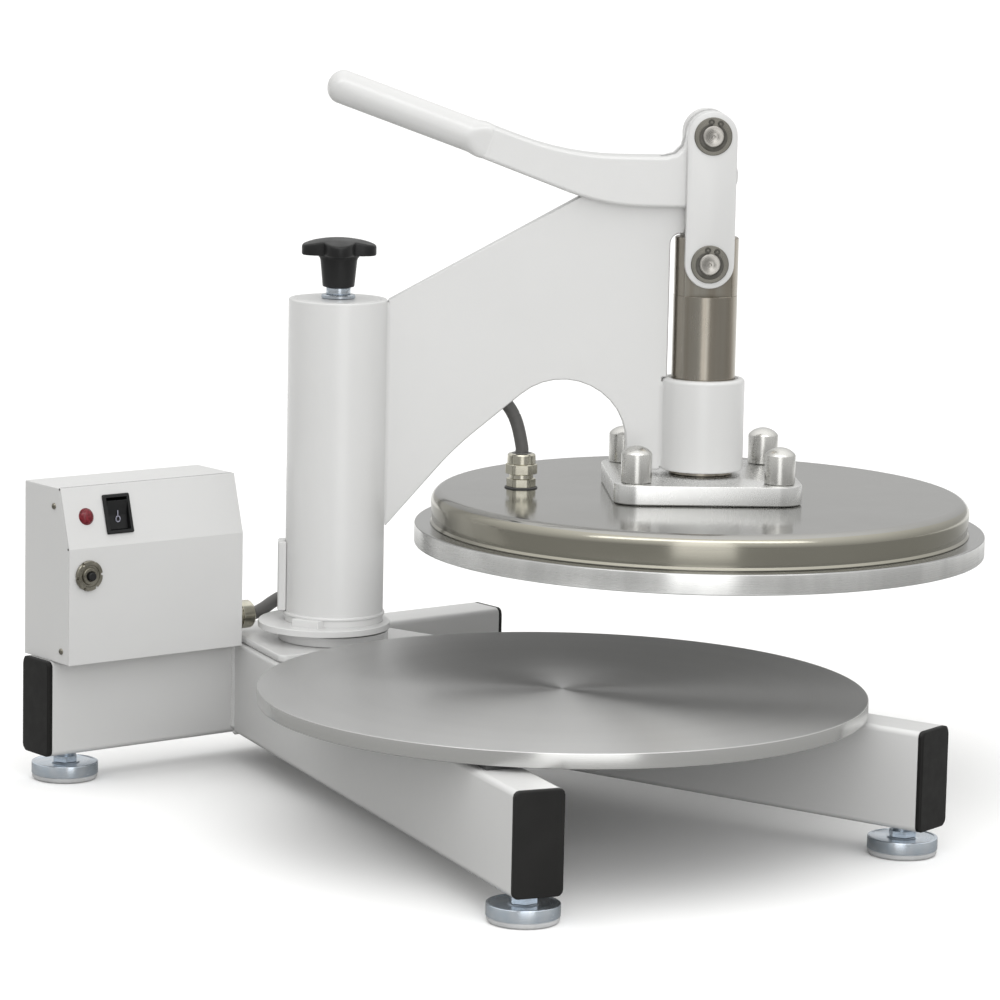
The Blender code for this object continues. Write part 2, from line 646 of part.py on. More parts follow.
def build_frame(looks, root):
    """Cross tube, two splayed legs, their caps and the four feet."""
    cap_seat = CAP_THICKNESS + TOUCH_GAP
    cross = beam(
        "cross_tube", -CROSS_LEFT_REACH + cap_seat, 0, CROSS_RIGHT_REACH - cap_seat,
        looks["paint"], root, (0, CROSS_SETBACK, TUBE_LIFT), (0, 0, 0))
    middle = TUBE_LIFT + TUBE_HEIGHT / 2
    end_cap("cap_cross_left", looks["black"], root,
            (-CROSS_LEFT_REACH, CROSS_SETBACK, middle), (0, 0, math.pi))
    end_cap("cap_cross_right", looks["black"], root, (CROSS_RIGHT_REACH, CROSS_SETBACK, middle), (0, 0, 0))
    cross_feet = {
        "cross_left": -CROSS_LEFT_REACH + FOOT_INSET_CROSS,
        "cross_right": CROSS_RIGHT_REACH - FOOT_INSET_CROSS,
    }
    for name, x in cross_feet.items():
        foot(name, looks, root, (x, CROSS_SETBACK))
        stem_hole(cross, name, looks, root, (x, CROSS_SETBACK))
    for side, name in ((-1, "left"), (1, "right")):
        build_leg(looks, root, side, name)


def build_leg(looks, root, side, name):
    heading = -math.pi / 2 + side * LEG_ANGLE
    along = Vector((side * math.sin(LEG_ANGLE), -math.cos(LEG_ANGLE)))
    origin = Vector((side * LEG_SPREAD, CROSS_SETBACK))
    start = (TUBE_WIDTH / 2 + TOUCH_GAP) / math.cos(LEG_ANGLE)
    end = LEG_REACH - CAP_THICKNESS - TOUCH_GAP
    leg = beam(
        f"leg_{name}", start, side * math.tan(LEG_ANGLE), end,
        looks["paint"], root, (*origin, TUBE_LIFT), (0, 0, heading))
    cap_place = origin + along * LEG_REACH
    end_cap(f"cap_leg_{name}", looks["black"], root,
            (*cap_place, TUBE_LIFT + TUBE_HEIGHT / 2), (0, 0, heading))
    foot_place = origin + along * (LEG_REACH - FOOT_INSET_LEG)
    foot(f"leg_{name}", looks, root, foot_place)
    stem_hole(leg, f"leg_{name}", looks, root, foot_place)
    strip_middle = (PLATEN_REACH + CROSS_SETBACK) / math.cos(LEG_ANGLE)
    strip = block(
        (STRIP_LENGTH, STRIP_WIDTH, STRIP_THICKNESS),
        (strip_middle, 0, BASE_PLATE_BOTTOM + STRIP_THICKNESS / 2))
    place(f"platen_strip_{name}", strip, looks["pad"], root, (*origin, 0), (0, 0, heading))


def leg_outer_edge(y):
    """Distance of a leg's outer face from the middle plane at a place along Y."""
    return LEG_SPREAD + (CROSS_SETBACK - y) * math.tan(LEG_ANGLE) + LEG_HALF


def build_base_plate(looks, root):
    back = CROSS_SETBACK + TUBE_WIDTH / 2 - BASE_PLATE_INSET
    front = -BASE_PLATE_FRONT
    back_half = leg_outer_edge(back) - BASE_PLATE_INSET
    front_half = leg_outer_edge(front) - BASE_PLATE_INSET
    outline = filleted([
        (-front_half, front, BASE_PLATE_CORNER, CORNER_STEPS), (front_half, front, BASE_PLATE_CORNER, CORNER_STEPS),
        (back_half, back, BASE_PLATE_CORNER, CORNER_STEPS), (-back_half, back, BASE_PLATE_CORNER, CORNER_STEPS),
    ])
    made = loft([along_z(outline, BASE_PLATE_BOTTOM), along_z(outline, BASE_PLATE_TOP)])
    plate = place("base_plate", made, looks["paint"], root)
    chamfer(plate, COLUMN_CAP_ROUNDING)


def build_post(looks, root):
    """Fixed post with its foot collar; the adjusting screw bears on its closed top."""
    collar_top = POST_BOTTOM + POST_COLLAR_HEIGHT
    profile = [
        (0, POST_TOP), (0, POST_TOP - POST_TOP_THICKNESS), (POST_BORE, POST_TOP - POST_TOP_THICKNESS),
        (POST_BORE, POST_BOTTOM), (POST_COLLAR_RADIUS, POST_BOTTOM), (POST_COLLAR_RADIUS, collar_top),
        (POST_RADIUS, collar_top), (POST_RADIUS, POST_TOP),
    ]
    made = turned(profile[1:] + profile[:1], MEDIUM_ROUND)
    place("post", made, looks["steel"], root)


def build_lower_platen(looks, root):
    edge = LOWER_PLATEN_CHAMFER
    profile = [
        (0, PLATEN_BOTTOM), (PLATEN_RADIUS - edge, PLATEN_BOTTOM),
        (PLATEN_RADIUS, PLATEN_BOTTOM + edge), (PLATEN_RADIUS, PLATEN_TOP - edge),
        (PLATEN_RADIUS - edge, PLATEN_TOP), (0, PLATEN_TOP),
    ]
    made = turned(profile, LARGE_ROUND)
    place("lower_platen", made, looks["machined"], root, (0, -PLATEN_REACH, 0))


def build_box(looks, root):
    """Folded case on the cross tube with its front panel."""
    width = BOX_LEFT - BOX_RIGHT
    middle = -(BOX_LEFT + BOX_RIGHT) / 2
    top = BOX_BASE + BOX_HEIGHT
    fold = BOX_BASE + BOX_FOLD_HEIGHT
    front = BOX_FRONT + BOX_SHEET + TOUCH_GAP
    shell_outline = [
        (front, BOX_BASE), (BOX_BACK, BOX_BASE), (BOX_BACK, top), (front + BOX_LEAN, top), (front, fold),
    ]
    ends = (middle - width / 2, middle + width / 2)
    shell = place("box_shell", loft([along_x(shell_outline, x) for x in ends]), looks["paint"], root)
    hollow_outline = [
        (front - OVERRUN, BOX_BASE + BOX_SHEET), (BOX_BACK - BOX_SHEET, BOX_BASE + BOX_SHEET),
        (BOX_BACK - BOX_SHEET, top - BOX_SHEET), (front - OVERRUN + BOX_LEAN, top - BOX_SHEET),
        (front - OVERRUN, fold),
    ]
    hollow_ends = (ends[0] + BOX_SHEET, ends[1] - BOX_SHEET)
    hollow = place("tool_box_hollow", loft([along_x(hollow_outline, x) for x in hollow_ends]), looks["paint"], root)
    combine(shell, hollow, "DIFFERENCE")
    hole = GLAND_NECK_RADIUS + TOUCH_GAP
    side_hole = place(
        "tool_box_side_hole", cylinder(hole, -OVERRUN, OVERRUN), looks["paint"], root,
        (ends[1] - BOX_SHEET / 2, BOX_GLAND_Y, BOX_BASE + BOX_GLAND_HEIGHT), (0, math.pi / 2, 0))
    combine(shell, side_hole, "DIFFERENCE")
    back_hole = place(
        "tool_box_back_hole", cylinder(hole, -OVERRUN, OVERRUN), looks["paint"], root,
        (MAINS_GLAND_X, BOX_BACK - BOX_SHEET / 2, BOX_BASE + MAINS_GLAND_HEIGHT), (math.pi / 2, 0, 0))
    combine(shell, back_hole, "DIFFERENCE")
    panel_outline = [
        (BOX_FRONT, BOX_BASE), (BOX_FRONT + BOX_SHEET, BOX_BASE), (BOX_FRONT + BOX_SHEET, fold),
        (BOX_FRONT + BOX_SHEET + BOX_LEAN, top), (BOX_FRONT + BOX_LEAN, top), (BOX_FRONT, fold),
    ]
    panel = place("box_panel", loft([along_x(panel_outline, x) for x in ends]), looks["paint"], root)
    build_panel_fittings(looks, root, panel, fold)


def build_panel_fittings(looks, root, panel, fold):
    """Lamp, rocker switch and breaker, each square to the part of the panel that it sits on."""
    lean = (math.pi / 2 - BOX_LEAN_ANGLE, 0, 0)
    upright = (math.pi / 2, 0, 0)

    def on_slope(x, along):
        rise = along * math.cos(BOX_LEAN_ANGLE)
        return (x, BOX_FRONT + along * math.sin(BOX_LEAN_ANGLE), fold + rise)

    lamp_axis = empty("lamp_axis", root, on_slope(LAMP_X, LAMP_ALONG), lean)
    switch_axis = empty("switch_axis", root, on_slope(SWITCH_X, SWITCH_ALONG), lean)
    breaker_axis = empty("breaker_axis", root, (BREAKER_X, BOX_FRONT, BOX_BASE + BREAKER_HEIGHT), upright)
    build_lamp(looks, lamp_axis, panel)
    build_switch(looks, switch_axis, panel)
    build_breaker(looks, breaker_axis, panel)


def build_lamp(looks, axis, panel):
    hole = place("tool_lamp_hole", cylinder(LAMP_NECK_RADIUS + TOUCH_GAP, -OVERRUN, OVERRUN), looks["paint"], axis)
    combine(panel, hole, "DIFFERENCE")
    crown = [(LAMP_RADIUS * math.cos(a), LAMP_DOME * math.sin(a) + TOUCH_GAP + LAMP_DOME / 2)
             for a in (0, math.pi / 8, math.pi / 4, 3 * math.pi / 8)]
    profile = [
        (0, -LAMP_NECK_LENGTH), (LAMP_NECK_RADIUS, -LAMP_NECK_LENGTH), (LAMP_NECK_RADIUS, TOUCH_GAP),
        (LAMP_RADIUS, TOUCH_GAP), *crown, (0, LAMP_DOME * 1.5 + TOUCH_GAP),
    ]
    place("power_lamp", turned(profile, SMALL_ROUND), looks["red"], axis)


def build_switch(looks, axis, panel):
    body_width = SWITCH_WIDTH - SWITCH_BORDER
    body_height = SWITCH_HEIGHT - SWITCH_BORDER
    hole = place(
        "tool_switch_hole",
        block((body_width + 2 * TOUCH_GAP, body_height + 2 * TOUCH_GAP, 2 * OVERRUN)), looks["paint"], axis)
    combine(panel, hole, "DIFFERENCE")
    rim = rounded_rectangle(SWITCH_WIDTH, SWITCH_HEIGHT, SWITCH_CORNER)
    rim_top = rounded_rectangle(SWITCH_WIDTH - SWITCH_CORNER, SWITCH_HEIGHT - SWITCH_CORNER, SWITCH_CORNER)
    body = rounded_rectangle(body_width, body_height, SWITCH_CORNER)
    rim_height = TOUCH_GAP + SWITCH_RIM
    made = loft([
        along_z(body, -SWITCH_DEPTH), along_z(body, TOUCH_GAP), along_z(rim, TOUCH_GAP),
        along_z(rim, rim_height - SWITCH_CORNER / 2), along_z(rim_top, rim_height),
    ])
    frame = place("switch_frame", made, looks["black"], axis)
    well_width = body_width - 2 * SWITCH_WALL
    well_height = body_height - 2 * SWITCH_WALL
    well_floor = -SWITCH_DEPTH + SWITCH_WALL
    well = place(
        "tool_switch_well",
        block((well_width, well_height, rim_height + OVERRUN - well_floor),
              (0, 0, (rim_height + OVERRUN + well_floor) / 2)), looks["black"], axis)
    combine(frame, well, "DIFFERENCE")
    rocker_half = well_height / 2 - ROCKER_END_GAP
    outline = [
        (-rocker_half, ROCKER_RISE), (0, ROCKER_RISE - ROCKER_DISH), (rocker_half, ROCKER_RISE),
        (rocker_half * ROCKER_TAPER_SHARE, -ROCKER_DEPTH / 2), (0, -ROCKER_DEPTH),
        (-rocker_half * ROCKER_TAPER_SHARE, -ROCKER_DEPTH / 2),
    ]
    rocker_width = well_width - 2 * TOUCH_GAP
    rocker = loft([along_x(outline, -rocker_width / 2), along_x(outline, rocker_width / 2)])
    place("switch_rocker", rocker, looks["black"], axis, (0, 0, -ROCKER_PIVOT_DEPTH), (ROCKER_TILT, 0, 0))


def build_breaker(looks, axis, panel):
    hole = place(
        "tool_breaker_hole", cylinder(BREAKER_NECK_RADIUS + TOUCH_GAP, -OVERRUN, OVERRUN), looks["paint"], axis)
    combine(panel, hole, "DIFFERENCE")
    nut_top = TOUCH_GAP + BREAKER_NUT_THICKNESS
    bore = BUTTON_RADIUS + TOUCH_GAP
    button_floor = BREAKER_COLLAR_HEIGHT + BUTTON_RISE - BUTTON_LENGTH
    bore_floor = button_floor - BUTTON_RISE
    profile = [
        (0, -BREAKER_NECK_LENGTH), (BREAKER_NECK_RADIUS, -BREAKER_NECK_LENGTH), (BREAKER_NECK_RADIUS, TOUCH_GAP),
        (BREAKER_NUT_RADIUS, TOUCH_GAP), (BREAKER_NUT_RADIUS, nut_top - PIN_CHAMFER),
        (BREAKER_NUT_RADIUS - PIN_CHAMFER, nut_top), (BREAKER_COLLAR_RADIUS, nut_top),
        (BREAKER_COLLAR_RADIUS, BREAKER_COLLAR_HEIGHT), (bore, BREAKER_COLLAR_HEIGHT), (bore, bore_floor),
        (0, bore_floor),
    ]
    place("breaker_nut", turned(profile, SMALL_ROUND), looks["nickel"], axis)
    button_top = BREAKER_COLLAR_HEIGHT + BUTTON_RISE
    place("breaker_button", cylinder(BUTTON_RADIUS, button_floor, button_top), looks["black"], axis)


def gland(name, nut_length, with_washer, looks, parent, location, rotation):
    """Cable gland on a wall at local height zero; its neck goes through to the far side."""
    washer = GLAND_WASHER_THICKNESS if with_washer else 0
    seat = TOUCH_GAP
    hex_base = seat + washer
    hex_top = hex_base + GLAND_HEX_LENGTH
    nut_base = hex_top + GLAND_WAIST_LENGTH
    nut_top = nut_base + nut_length
    washer_points = [(GLAND_WASHER_RADIUS, seat), (GLAND_WASHER_RADIUS, hex_base)] if with_washer else []
    core = turned([
        (0, -GLAND_NECK_LENGTH), (GLAND_NECK_RADIUS, -GLAND_NECK_LENGTH), (GLAND_NECK_RADIUS, seat),
        *washer_points, (GLAND_WAIST_RADIUS, hex_base), (GLAND_WAIST_RADIUS, nut_base),
        (GLAND_NUT_RADIUS, nut_base), (GLAND_NUT_RADIUS, nut_top - GLAND_NUT_CHAMFER),
        (GLAND_NUT_RADIUS - GLAND_NUT_CHAMFER, nut_top), (0, nut_top),
    ], SMALL_ROUND)
    made = place(name, core, looks["nickel"], parent, location, rotation)
    overlap = washer / 2
    hexes = loft([
        along_z(hexagon(GLAND_HEX_RADIUS), hex_base - overlap), along_z(hexagon(GLAND_HEX_RADIUS), hex_top)])
    tool = place(f"tool_{name}_hex", hexes, looks["nickel"], parent, location, rotation)
    combine(made, tool, "UNION")
    return nut_top


def smooth_route(points, per_span):
    """Catmull-Rom curve through the given points."""
    chain = [Vector(p) for p in points]
    chain = [2 * chain[0] - chain[1], *chain, 2 * chain[-1] - chain[-2]]
    smooth = []
    for a, b, c, d in zip(chain, chain[1:], chain[2:], chain[3:]):
        for i in range(per_span):
            t = i / per_span
            smooth.append(0.5 * (2 * b + (c - a) * t + (2 * a - 5 * b + 4 * c - d) * t ** 2
                                 + (3 * b - a - 3 * c + d) * t ** 3))
    smooth.append(chain[-2])
    return smooth


def lead(name, points, looks, parent):
    """Round jacketed lead along a smooth route, with flat ends."""
    route = smooth_route(points, 1)
    curve = bpy.data.curves.new(name, "CURVE")
    curve.dimensions = "3D"
    curve.bevel_depth = LEAD_RADIUS
    curve.bevel_resolution = 3
    curve.use_fill_caps = True
    spline = curve.splines.new("POLY")
    spline.points.add(len(route) - 1)
    for target, point in zip(spline.points, route):
        target.co = (*point, 1)
    curve.materials.append(looks["rubber"])
    made = bpy.data.objects.new(name, curve)
    bpy.context.scene.collection.objects.link(made)
    made.parent = parent
    return made


def radial(angle, radius, height):
    return (radius * math.cos(angle), radius * math.sin(angle), height)


def build_glands(looks, root):
    side_wall = (-BOX_RIGHT, BOX_GLAND_Y, BOX_BASE + BOX_GLAND_HEIGHT)
    tip = gland("box_gland", GLAND_NUT_LENGTH - 3 * GLAND_WAIST_LENGTH, False, looks, root,
                side_wall, (0, math.pi / 2, 0))
    gland("mains_gland", MAINS_NUT_LENGTH, False, looks, root,
          (MAINS_GLAND_X, BOX_BACK, BOX_BASE + MAINS_GLAND_HEIGHT), (-math.pi / 2, 0, 0))
    start = Vector((-BOX_RIGHT + tip + TOUCH_GAP, BOX_GLAND_Y, BOX_BASE + BOX_GLAND_HEIGHT))
    straight = start + Vector((LEAD_RADIUS, 0, 0))
    rise = BASE_LEAD_HOLE_HEIGHT - start.z
    route = [(BOX_GLAND_Y * a, BOX_GLAND_Y * b, start.z + rise * c) for a, b, c in BASE_LEAD_ROUTE_SHARES]
    hole_angle = BASE_LEAD_HOLE_ANGLE + ARM_REST_SWING
    inside = (COLUMN_RADIUS + COLUMN_BORE) / 2
    end = radial(hole_angle, inside, BASE_LEAD_HOLE_HEIGHT)
    lead("base_lead", (start, straight, *route, end), looks, root)


def build_column(looks, axis):
    """Swinging column: bearing bush, tube, cap, foot flange and rear cover."""
    bush = turned([
        (POST_RADIUS + TOUCH_GAP, COLUMN_BASE + BUSH_START), (COLUMN_BORE - TOUCH_GAP, COLUMN_BASE + BUSH_START),
        (COLUMN_BORE - TOUCH_GAP, BUSH_TOP), (POST_RADIUS + TOUCH_GAP, BUSH_TOP),
    ], MEDIUM_ROUND)
    place("swing_bush", bush, looks["bronze"], axis)
    tube = turned([
        (COLUMN_BORE, COLUMN_BASE), (COLUMN_RADIUS, COLUMN_BASE), (COLUMN_RADIUS, COLUMN_TUBE_TOP),
        (COLUMN_BORE, COLUMN_TUBE_TOP),
    ], MEDIUM_ROUND)
    column = place("column", tube, looks["paint"], axis)
    holes = {
        "base": (BASE_LEAD_HOLE_ANGLE, BASE_LEAD_HOLE_HEIGHT),
        "platen": (PLATEN_LEAD_HOLE_ANGLE, PLATEN_LEAD_HOLE_HEIGHT),
    }
    for name, (angle, height) in holes.items():
        cutter = place(
            f"tool_{name}_lead_hole", cylinder(LEAD_HOLE_RADIUS, -2 * OVERRUN, 2 * OVERRUN), looks["paint"], axis,
            radial(angle, COLUMN_RADIUS, height), (0, math.pi / 2, angle))
        combine(column, cutter, "DIFFERENCE")
    edge = COLUMN_CAP_ROUNDING
    hole = ADJUSTER_RADIUS + TOUCH_GAP
    cap_base = COLUMN_TOP - COLUMN_CAP_THICKNESS
    cap = turned([
        (hole, cap_base), (COLUMN_RADIUS, cap_base), (COLUMN_RADIUS, COLUMN_TOP - edge),
        (COLUMN_RADIUS - edge, COLUMN_TOP), (hole, COLUMN_TOP),
    ], MEDIUM_ROUND)
    place("column_cap", cap, looks["paint"], axis)
    build_flange(looks, axis)
    build_cover(looks, axis)


def build_flange(looks, axis):
    top = COLUMN_BASE + FLANGE_THICKNESS
    edge = FLANGE_ROUNDING
    disc = turned([
        (0, COLUMN_BASE), (FLANGE_RADIUS, COLUMN_BASE), (FLANGE_RADIUS, top - edge),
        (FLANGE_RADIUS - edge, top), (0, top),
    ], MEDIUM_ROUND)
    flange = place("column_flange", disc, looks["paint"], axis, (-FLANGE_OFFSET, 0, 0))
    lug_height = FLANGE_THICKNESS / 2 + LUG_RISE
    reach = COLUMN_RADIUS + LUG_DEPTH
    lug = place(
        "tool_flange_lug", block((LUG_DEPTH * 2, LUG_WIDTH, lug_height)), looks["paint"], axis,
        radial(LUG_ANGLE, reach - LUG_DEPTH, top + LUG_RISE - lug_height / 2), (0, 0, LUG_ANGLE))
    chamfer(lug, LUG_ROUNDING)
    combine(flange, lug, "UNION")
    bore = cylinder(COLUMN_RADIUS + TOUCH_GAP, COLUMN_BASE - OVERRUN, top + LUG_RISE + OVERRUN, MEDIUM_ROUND)
    cutter = place("tool_flange_bore", bore, looks["paint"], axis)
    combine(flange, cutter, "DIFFERENCE")


def build_cover(looks, axis):
    """Flat cover strip up the back of the column, opposite the arm."""
    back = -(COLUMN_RADIUS + TOUCH_GAP + COVER_DEPTH)
    front = -math.sqrt(COLUMN_RADIUS ** 2 - (COVER_WIDTH / 2) ** 2)
    depth = front - back
    base = COLUMN_BASE + COVER_BASE
    made = block((depth, COVER_WIDTH, COVER_LENGTH), (back + depth / 2, 0, base + COVER_LENGTH / 2))
    cover = place("column_cover", made, looks["paint"], axis)
    chamfer(cover, COVER_ROUNDING)
    bore = cylinder(COLUMN_RADIUS + TOUCH_GAP, base - OVERRUN, base + COVER_LENGTH + OVERRUN, MEDIUM_ROUND)
    cutter = place("tool_cover_bore", bore, looks["paint"], axis)
    combine(cover, cutter, "DIFFERENCE")


def build_adjuster(looks, axis):
    """Lobed knob on the screw that sets how far the column stands above the post."""
    nut_top = ADJUSTER_NUT_BASE + ADJUSTER_NUT_THICKNESS
    hole = ADJUSTER_RADIUS + TOUCH_GAP
    nut = turned([
        (hole, ADJUSTER_NUT_BASE), (ADJUSTER_NUT_RADIUS, ADJUSTER_NUT_BASE), (ADJUSTER_NUT_RADIUS, nut_top),
        (hole, nut_top),
    ], SMALL_ROUND)
    place("adjuster_nut", nut, looks["zinc"], axis)
    socket_top = KNOB_BASE + KNOB_SOCKET_DEPTH
    screw = cylinder(ADJUSTER_RADIUS, POST_TOP + TOUCH_GAP, socket_top - TOUCH_GAP)
    place("adjuster_screw", screw, looks["zinc"], axis)
    sides = KNOB_LOBES * 8
    wing_base = COLUMN_TOP + KNOB_WING_RISE
    wing_top = wing_base + KNOB_WING_THICKNESS

    def lobed(share, height):
        """Loop between the round hub and the full lobes."""
        loop = []
        for i in range(sides):
            angle = math.tau * i / sides
            swell = (0.5 + 0.5 * math.cos(KNOB_LOBES * (angle + KNOB_TURN))) ** 0.7
            lobe = KNOB_VALLEY_RADIUS + (KNOB_WING_RADIUS - KNOB_VALLEY_RADIUS) * swell
            radius = KNOB_HUB_RADIUS + (lobe - KNOB_HUB_RADIUS) * share
            loop.append(Vector((radius * math.cos(angle), radius * math.sin(angle), height)))
        return loop

    crown_shares = ((0.96, 0.25), (0.82, 0.55), (0.55, 0.80), (0.0, 1.0))
    loops = [
        along_z(circle(KNOB_HUB_RADIUS - PIN_CHAMFER, sides), KNOB_BASE),
        along_z(circle(KNOB_HUB_RADIUS, sides), KNOB_BASE + PIN_CHAMFER),
        along_z(circle(KNOB_HUB_RADIUS, sides), wing_base - PIN_CHAMFER * 2),
        lobed(0.12, wing_base), lobed(0.97, wing_base), lobed(1, wing_base + PIN_CHAMFER),
        lobed(1, wing_top - PIN_CHAMFER),
    ]
    loops += [lobed(share, wing_top + KNOB_CROWN * rise) for share, rise in crown_shares]
    knob = place("adjuster_knob", loft(loops), looks["black"], axis)
    socket = place(
        "tool_knob_socket", cylinder(hole, KNOB_BASE - OVERRUN, socket_top), looks["black"], axis)
    combine(knob, socket, "DIFFERENCE")


def arm_outline():
    """Side outline of the arm plate: reach from the column axis and height."""
    column_face = COLUMN_RADIUS + TOUCH_GAP
    sleeve_face = PLATEN_REACH - SLEEVE_RADIUS - TOUCH_GAP
    sleeve_clear = SLEEVE_TOP + TOUCH_GAP
    arch_corner_rise = (ARM_TAIL_REACH - ARM_UNDERSIDE_BEND_REACH) * math.tan(ARM_ARCH_SLOPE)
    lower = filleted([
        (column_face, ARM_TIP_HEIGHT, 0, 0),
        (ARM_UNDERSIDE_BEND_REACH, ARM_UNDERSIDE_BEND_HEIGHT, ARM_UNDERSIDE_BEND_RADIUS, BEND_STEPS),
        (ARM_TAIL_REACH, ARM_UNDERSIDE_BEND_HEIGHT + arch_corner_rise, ARM_ARCH_RADIUS, 2 * BEND_STEPS),
        (ARM_TAIL_REACH, ARM_TAIL_HEIGHT, ARM_TAIL_CORNER, CORNER_STEPS),
        (sleeve_face, ARM_TAIL_HEIGHT, 0, 0),
        (sleeve_face, sleeve_clear, 0, 0),
        (ARM_NOTCH_REACH, sleeve_clear, 0, 0),
        (ARM_NOTCH_REACH, ARM_NOTCH_TOP, ARM_NOTCH_CORNER, BEND_STEPS),
        (ARM_NECK_FRONT, ARM_NOTCH_TOP, 0, 0),
    ])
    boss = arc((PLATEN_REACH, PIVOT_HEIGHT), BOSS_RADIUS, BOSS_FRONT_ANGLE, BOSS_BACK_ANGLE, 2 * BEND_STEPS)
    upper = filleted([
        (ARM_NECK_BACK, ARM_PEAK_HEIGHT, 0, 0),
        (ARM_PEAK_REACH, ARM_PEAK_HEIGHT, ARM_PEAK_RADIUS, BEND_STEPS),
        (column_face, ARM_TOP_AT_COLUMN, 0, 0),
    ])
    return lower + boss + upper


def build_arm(looks, axis):
    """Arm plate, plunger sleeve with its guide bush, and the fixed pivot pin."""
    outline = arm_outline()
    half = ARM_THICKNESS / 2
    arm = place("arm_plate", loft([along_y(outline, -half), along_y(outline, half)]), looks["paint"], axis)
    chamfer(arm, ARM_EDGE)
    bore = place(
        "tool_pivot_bore", cylinder(PIVOT_PIN_RADIUS + TOUCH_GAP, -half - OVERRUN, half + OVERRUN), looks["paint"],
        axis, (PLATEN_REACH, 0, PIVOT_HEIGHT), (math.pi / 2, 0, 0))
    combine(arm, bore, "DIFFERENCE")
    sleeve = turned([
        (SLEEVE_BORE, SLEEVE_BASE), (SLEEVE_RADIUS - SLEEVE_BASE_CHAMFER, SLEEVE_BASE),
        (SLEEVE_RADIUS, SLEEVE_BASE + SLEEVE_BASE_CHAMFER), (SLEEVE_RADIUS, SLEEVE_TOP - SLEEVE_TOP_CHAMFER),
        (SLEEVE_RADIUS - SLEEVE_TOP_CHAMFER, SLEEVE_TOP), (SLEEVE_BORE, SLEEVE_TOP),
    ], MEDIUM_ROUND)
    place("press_sleeve", sleeve, looks["paint"], axis, (PLATEN_REACH, 0, 0))
    inner = PLUNGER_RADIUS + GUIDE_RUNNING_GAP
    outer = SLEEVE_BORE - TOUCH_GAP
    guide = turned([(inner, SLEEVE_BASE), (outer, SLEEVE_BASE), (outer, SLEEVE_TOP), (inner, SLEEVE_TOP)], MEDIUM_ROUND)
    place("guide_bush", guide, looks["bronze"], axis, (PLATEN_REACH, 0, 0))
    pin = cylinder(PIVOT_PIN_RADIUS, -FORK_HALF, FORK_HALF)
    place("pivot_pin", pin, looks["steel"], axis, (PLATEN_REACH, 0, PIVOT_HEIGHT), (math.pi / 2, 0, 0))


def fork_outline():
    """Side outline of the handle's fork about the pivot, with the crank pin straight above it."""
    along = Vector((-math.cos(GRIP_ANGLE), math.sin(GRIP_ANGLE)))
    across = Vector((math.sin(GRIP_ANGLE), math.cos(GRIP_ANGLE)))
    joint = Vector((-GRIP_JOINT_REACH, GRIP_JOINT_RISE))
    joint_top = joint + across * GRIP_RADIUS
    joint_base = joint - across * GRIP_RADIUS
    heel = Vector((-FORK_HEEL_REACH, -FORK_UNDERSIDE))
    hub_start = -math.acos(FORK_HEEL_REACH / FORK_HUB_RADIUS) - math.pi / 2
    hub_end = math.acos(LINK_HALF_WIDTH / FORK_HUB_RADIUS)
    rear = filleted([
        (*joint_top, 0, 0),
        (*joint_base, 0, 0),
        (-FORK_UNDERSIDE_BEND_REACH, -FORK_UNDERSIDE, FORK_UNDERSIDE_BEND_RADIUS, BEND_STEPS),
        (*heel, FORK_HEEL_RADIUS, CORNER_STEPS),
        (0, -FORK_HUB_RADIUS, 0, 0),
    ])
    hub = arc((0, 0), FORK_HUB_RADIUS, -math.pi / 2, hub_end, BEND_STEPS)[1:]
    ear = arc((0, CRANK_RADIUS), LINK_HALF_WIDTH, 0, math.pi, 2 * BEND_STEPS)
    front = filleted([
        (*ear[-1], 0, 0),
        (-LINK_HALF_WIDTH, FORK_TOP, FORK_EAR_FILLET, CORNER_STEPS),
        (-FORK_TOP_BEND_REACH, FORK_TOP, FORK_TOP_BEND_RADIUS, BEND_STEPS),
        (*joint_top, 0, 0),
    ])
    return rear + hub + ear + front[1:-1]


